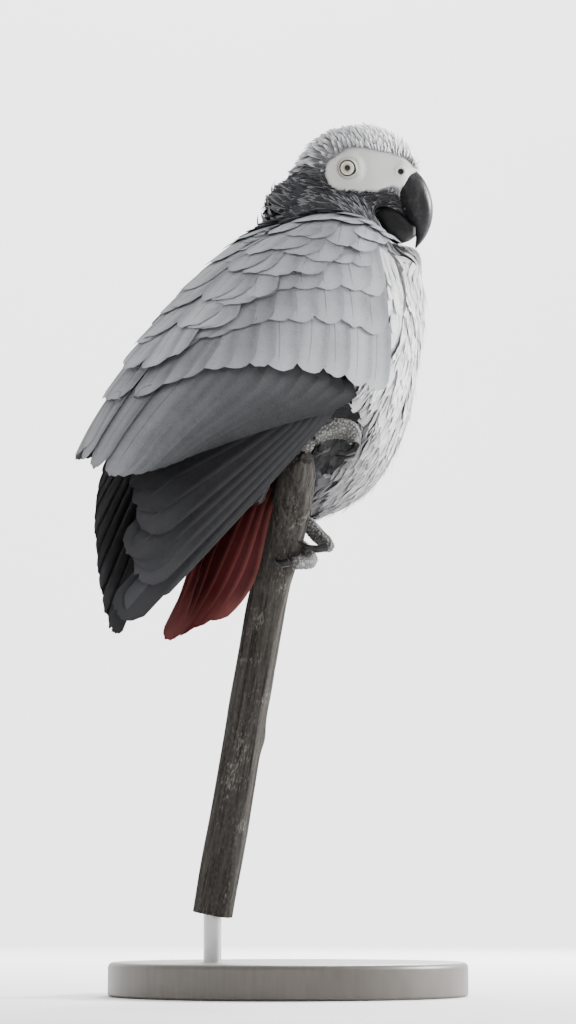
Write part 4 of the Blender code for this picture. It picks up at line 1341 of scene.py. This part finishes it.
def make_foot(word, seed):
    nodes = [f"leg_{word}"] + [f"toe_{word}_{toe}" for toe in TOES]
    verts, _, tris = arrays(shell(nodes, 0.5, 5))
    chance = np.random.default_rng(seed)
    roots, facing = scattered(chance, even(1.12), even(1.0), 9000, verts, tris)
    scales, caps = domes(roots, facing, 0.66 * varied(chance, 0.12, len(roots)), chance)
    tint = np.tile([0.060, 0.058, 0.057, 0], (len(verts), 1))
    light = 0.15 * varied(chance, 0.16, len(roots))
    cap_tint = np.c_[light, light * 0.975, light * 0.94, light * 0]
    tint = np.vstack([tint, np.repeat(cap_tint, len(scales) // len(roots), 0)])
    faces = [tris] + [cap + len(verts) for cap in caps]
    piece = built(f"foot_{word}", np.vstack([verts, scales]), faces, SCALE_SKIN, tints=tint)
    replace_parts(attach(piece, "root"), *nodes)
    claws = [f"claw_{word}_{toe}" for toe in TOES]
    verts, _, tris = arrays(shell(claws, 0.28, 6))
    piece = built(f"claws_{word}", verts, tris, HORN, tints=(0.012, 0.0115, 0.011, 0.05))
    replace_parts(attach(piece, "root"), *claws)


make_foot("left", 51)
make_foot("right", 52)


# ---------------------------------------------------------------- stick and stand
PERCH_LINE = (
    (-25.0, 22.5, 36.0), (-21.7, 13.3, 86.0), (-19.0, 5.0, 131.0), (-17.0, -5.6, 179.5), (-16.2, -14.0, 206.0),
    (-21.7, -29.2, 236.0),
)
PERCH_RADIUS = 9.8


def wood_paint():
    paint = Paint("weathered_wood", Roughness=0.85, Specular_IOR_Level=0.1)
    tint, _ = paint.tint()
    lean = (0.19, 0.056, 0.0)
    grain, streak = paint.noise(900, 4, (1, 1, 0.07), lean), paint.noise(260, 4, (1, 1, 0.10), lean)
    blotch, speck = paint.noise(90, 4), paint.noise(1500, 3, (1, 1, 0.35), lean)
    crack = paint.noise(620, 2, (1, 1, 0.02), lean).step(0.60, 0.68)
    shade = (grain - 0.5) * 1.5 + (streak - 0.5) * 1.6 + (speck - 0.5) * 1.4 + 1
    colour = paint.mix(crack * 0.7, paint.shaded(tint, shade.maths("MAXIMUM", 0.15)), (0.008, 0.007, 0.006))
    patch = (blotch * 0.5 + speck * 0.5).step(0.56, 0.70)
    paint.set(Base_Color=paint.mix(patch * 0.4, colour, (0.22, 0.205, 0.185)))
    paint.bump(grain * 0.8 + streak * 0.8 - crack * 1.2, 0.7, 0.5)
    return paint.material


def make_perch():
    line = curve(PERCH_LINE, 56)
    way = unit(np.gradient(line, axis=0))
    across = unit(np.cross(way, np.array([1.0, 0, 0])))
    over = np.cross(across, way)
    turns, ends = circle(72), np.linspace(0, 1, len(line))
    far = ends[:, None]
    width = smooth_line((0, 1.0), (0.86, 1.0), (0.955, 0.9), (1, 0.62))(far) * PERCH_RADIUS
    split_face = 0.55 + turns  # the lower stick is split square, and turned a little to its own line
    square = 0.875 / (np.abs(np.cos(split_face)) ** 3.4 + np.abs(np.sin(split_face)) ** 3.4) ** (1 / 3.4)
    faceted = blend(square, 0.97 + 0.035 * np.cos(3 * turns + 0.6), step(far, 0.62, 0.80))
    rough = np.array([[
        noise.noise(Vector((math.cos(t) * 2.6, math.sin(t) * 2.6, f * 9.0))) * 0.55
        + noise.noise(Vector((math.cos(t) * 9, math.sin(t) * 9, f * 14.0))) * 0.22
        for t in turns] for f in ends])
    split = -1.3 * hump(turns - 2.3 - 0.25 * np.sin(far * 9), 0, 0.07) * step(far, 0.1, 0.3)
    split += -0.9 * hump(turns - 4.1 + 0.2 * np.sin(far * 7), 0, 0.06) * (1 - step(far, 0.5, 0.7))
    knots = sum(h * np.exp(-(((far - f) / 0.022) ** 2) - ((np.angle(np.exp(1j * (turns - t))) / 0.5) ** 2))
                for f, t, h in ((0.80, 1.2, 1.6), (0.885, 2.9, 1.4), (0.62, 4.4, 1.0), (0.33, 1.9, 0.9)))
    radius = width * faceted + rough + split + knots - 0.25
    rings = line[:, None] + across[:, None] * (radius * np.cos(turns))[..., None]
    rings = rings + over[:, None] * (radius * np.sin(turns))[..., None]
    ragged = np.array([noise.noise(Vector((math.cos(t) * 3, math.sin(t) * 3, 7.0))) for t in turns])
    rings[-3:] += way[-3:, None] * (ragged * 3.0)[None, :, None] * np.array([0.4, 0.75, 1.0])[:, None, None]
    piece = built("stick", *tube(rings), wood_paint(), tints=(0.036, 0.0325, 0.029, 0))
    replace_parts(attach(piece, "root"), "perch")


def make_stand():
    paint = Paint("stand_board", Roughness=0.42, Specular_IOR_Level=0.5)
    paint.set(Base_Color=paint.mix(paint.noise(60, 5, (1, 9, 1)), (0.060, 0.052, 0.045), (0.105, 0.092, 0.08)))
    turns = circle(144)
    profile = [(77.5, 0.0), (79.4, 0.35), (80.0, 1.1), (80.0, 12.5)]
    profile += [(77.5 + 2.5 * math.cos(a), 12.5 + 2.5 * math.sin(a)) for a in np.linspace(0.2, np.pi / 2, 7)]
    board = built("stand_board", *tube(lathe(profile + [(40.0, 15.0)], turns)), paint.material)
    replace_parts(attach(board, "root"), "stand_base")
    paint = Paint("stand_metal", Base_Color=(0.42, 0.42, 0.43), Roughness=0.32, Metallic=1.0)
    paint.set(Roughness=paint.noise(900, 2, (1, 1, 0.05)) * 0.25 + 0.2)
    x, y, foot = PERCH_LINE[0]
    rod = built("stand_pin", *tube(lathe([(4.0, 14.9), (4.0, foot + 3.0)], turns[::3], (x, y))), paint.material)
    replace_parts(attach(rod, "root"), "stand_rod")
    for piece in (board, rod):
        piece.data.set_sharp_from_angle(angle=math.radians(35))


make_perch()
make_stand()


# ---------------------------------------------------------------- floor, light and camera
def make_stage():
    """A round floor that curves up into a wall. Its profile is in metres, and its rings in millimetres."""
    profile = [(0.6, 0.0), (1.2, 0.0), (1.9, 0.0)]
    profile += [(1.9 + 1.4 * math.sin(a), 1.4 - 1.4 * math.cos(a)) for a in np.linspace(0.1, np.pi / 2, 16)]
    profile += [(3.3, 2.2), (3.3, 3.0)]
    sides = 96
    rings = lathe(profile, circle(sides)) * 1000
    verts = np.vstack([rings.reshape(-1, 3), [[0, 0, 0]]])
    k = np.arange(sides)
    middle = np.stack([np.full(sides, len(verts) - 1), (k + 1) % sides, k], -1)
    paint = Paint("floor", Base_Color=(0.82, 0.82, 0.82), Roughness=0.9, Specular_IOR_Level=0.1)
    floor = built("floor", verts, [grid_faces(len(profile), sides, close=True)[:, ::-1], middle], paint.material)


def shown(name, data, place, target):
    """A lamp or camera at a place, facing a target."""
    made = bpy.data.objects.new(name, data)
    made.location = place
    made.rotation_euler = (Vector(target) - Vector(place)).to_track_quat("-Z", "Y").to_euler()
    bpy.context.scene.collection.objects.link(made)
    return made


make_stage()
for name, place, target, size, power in (
    ("rim_light", (1.3, -0.70, 0.75), (0, 0, 0.28), 0.5, 76),
    ("back_light", (1.1, 0.70, 1.0), (0, 0, 0.30), 0.6, 36),
    ("key_light", (0.25, -1.4, 1.35), (0, 0, 0.27), 1.3, 6),
    ("wall_light", (0.9, 0.9, 2.5), (2.4, 2.4, 0.7), 1.4, 170),
):
    light = bpy.data.lights.new(name, "AREA")
    light.shape, light.size, light.energy = "DISK", size, power
    shown(name, light, place, target)
world = bpy.data.worlds.new("studio")
world.use_nodes = True
world.node_tree.nodes["Background"].inputs["Color"].default_value = (1, 1, 1, 1)
world.node_tree.nodes["Background"].inputs["Strength"].default_value = 0.8
bpy.context.scene.world = world
view = bpy.data.cameras.new("camera")
view.lens = 100
bpy.context.scene.camera = shown("camera", view, (-0.90534, -0.90534, 0.03706), (0, 0, 0.217))
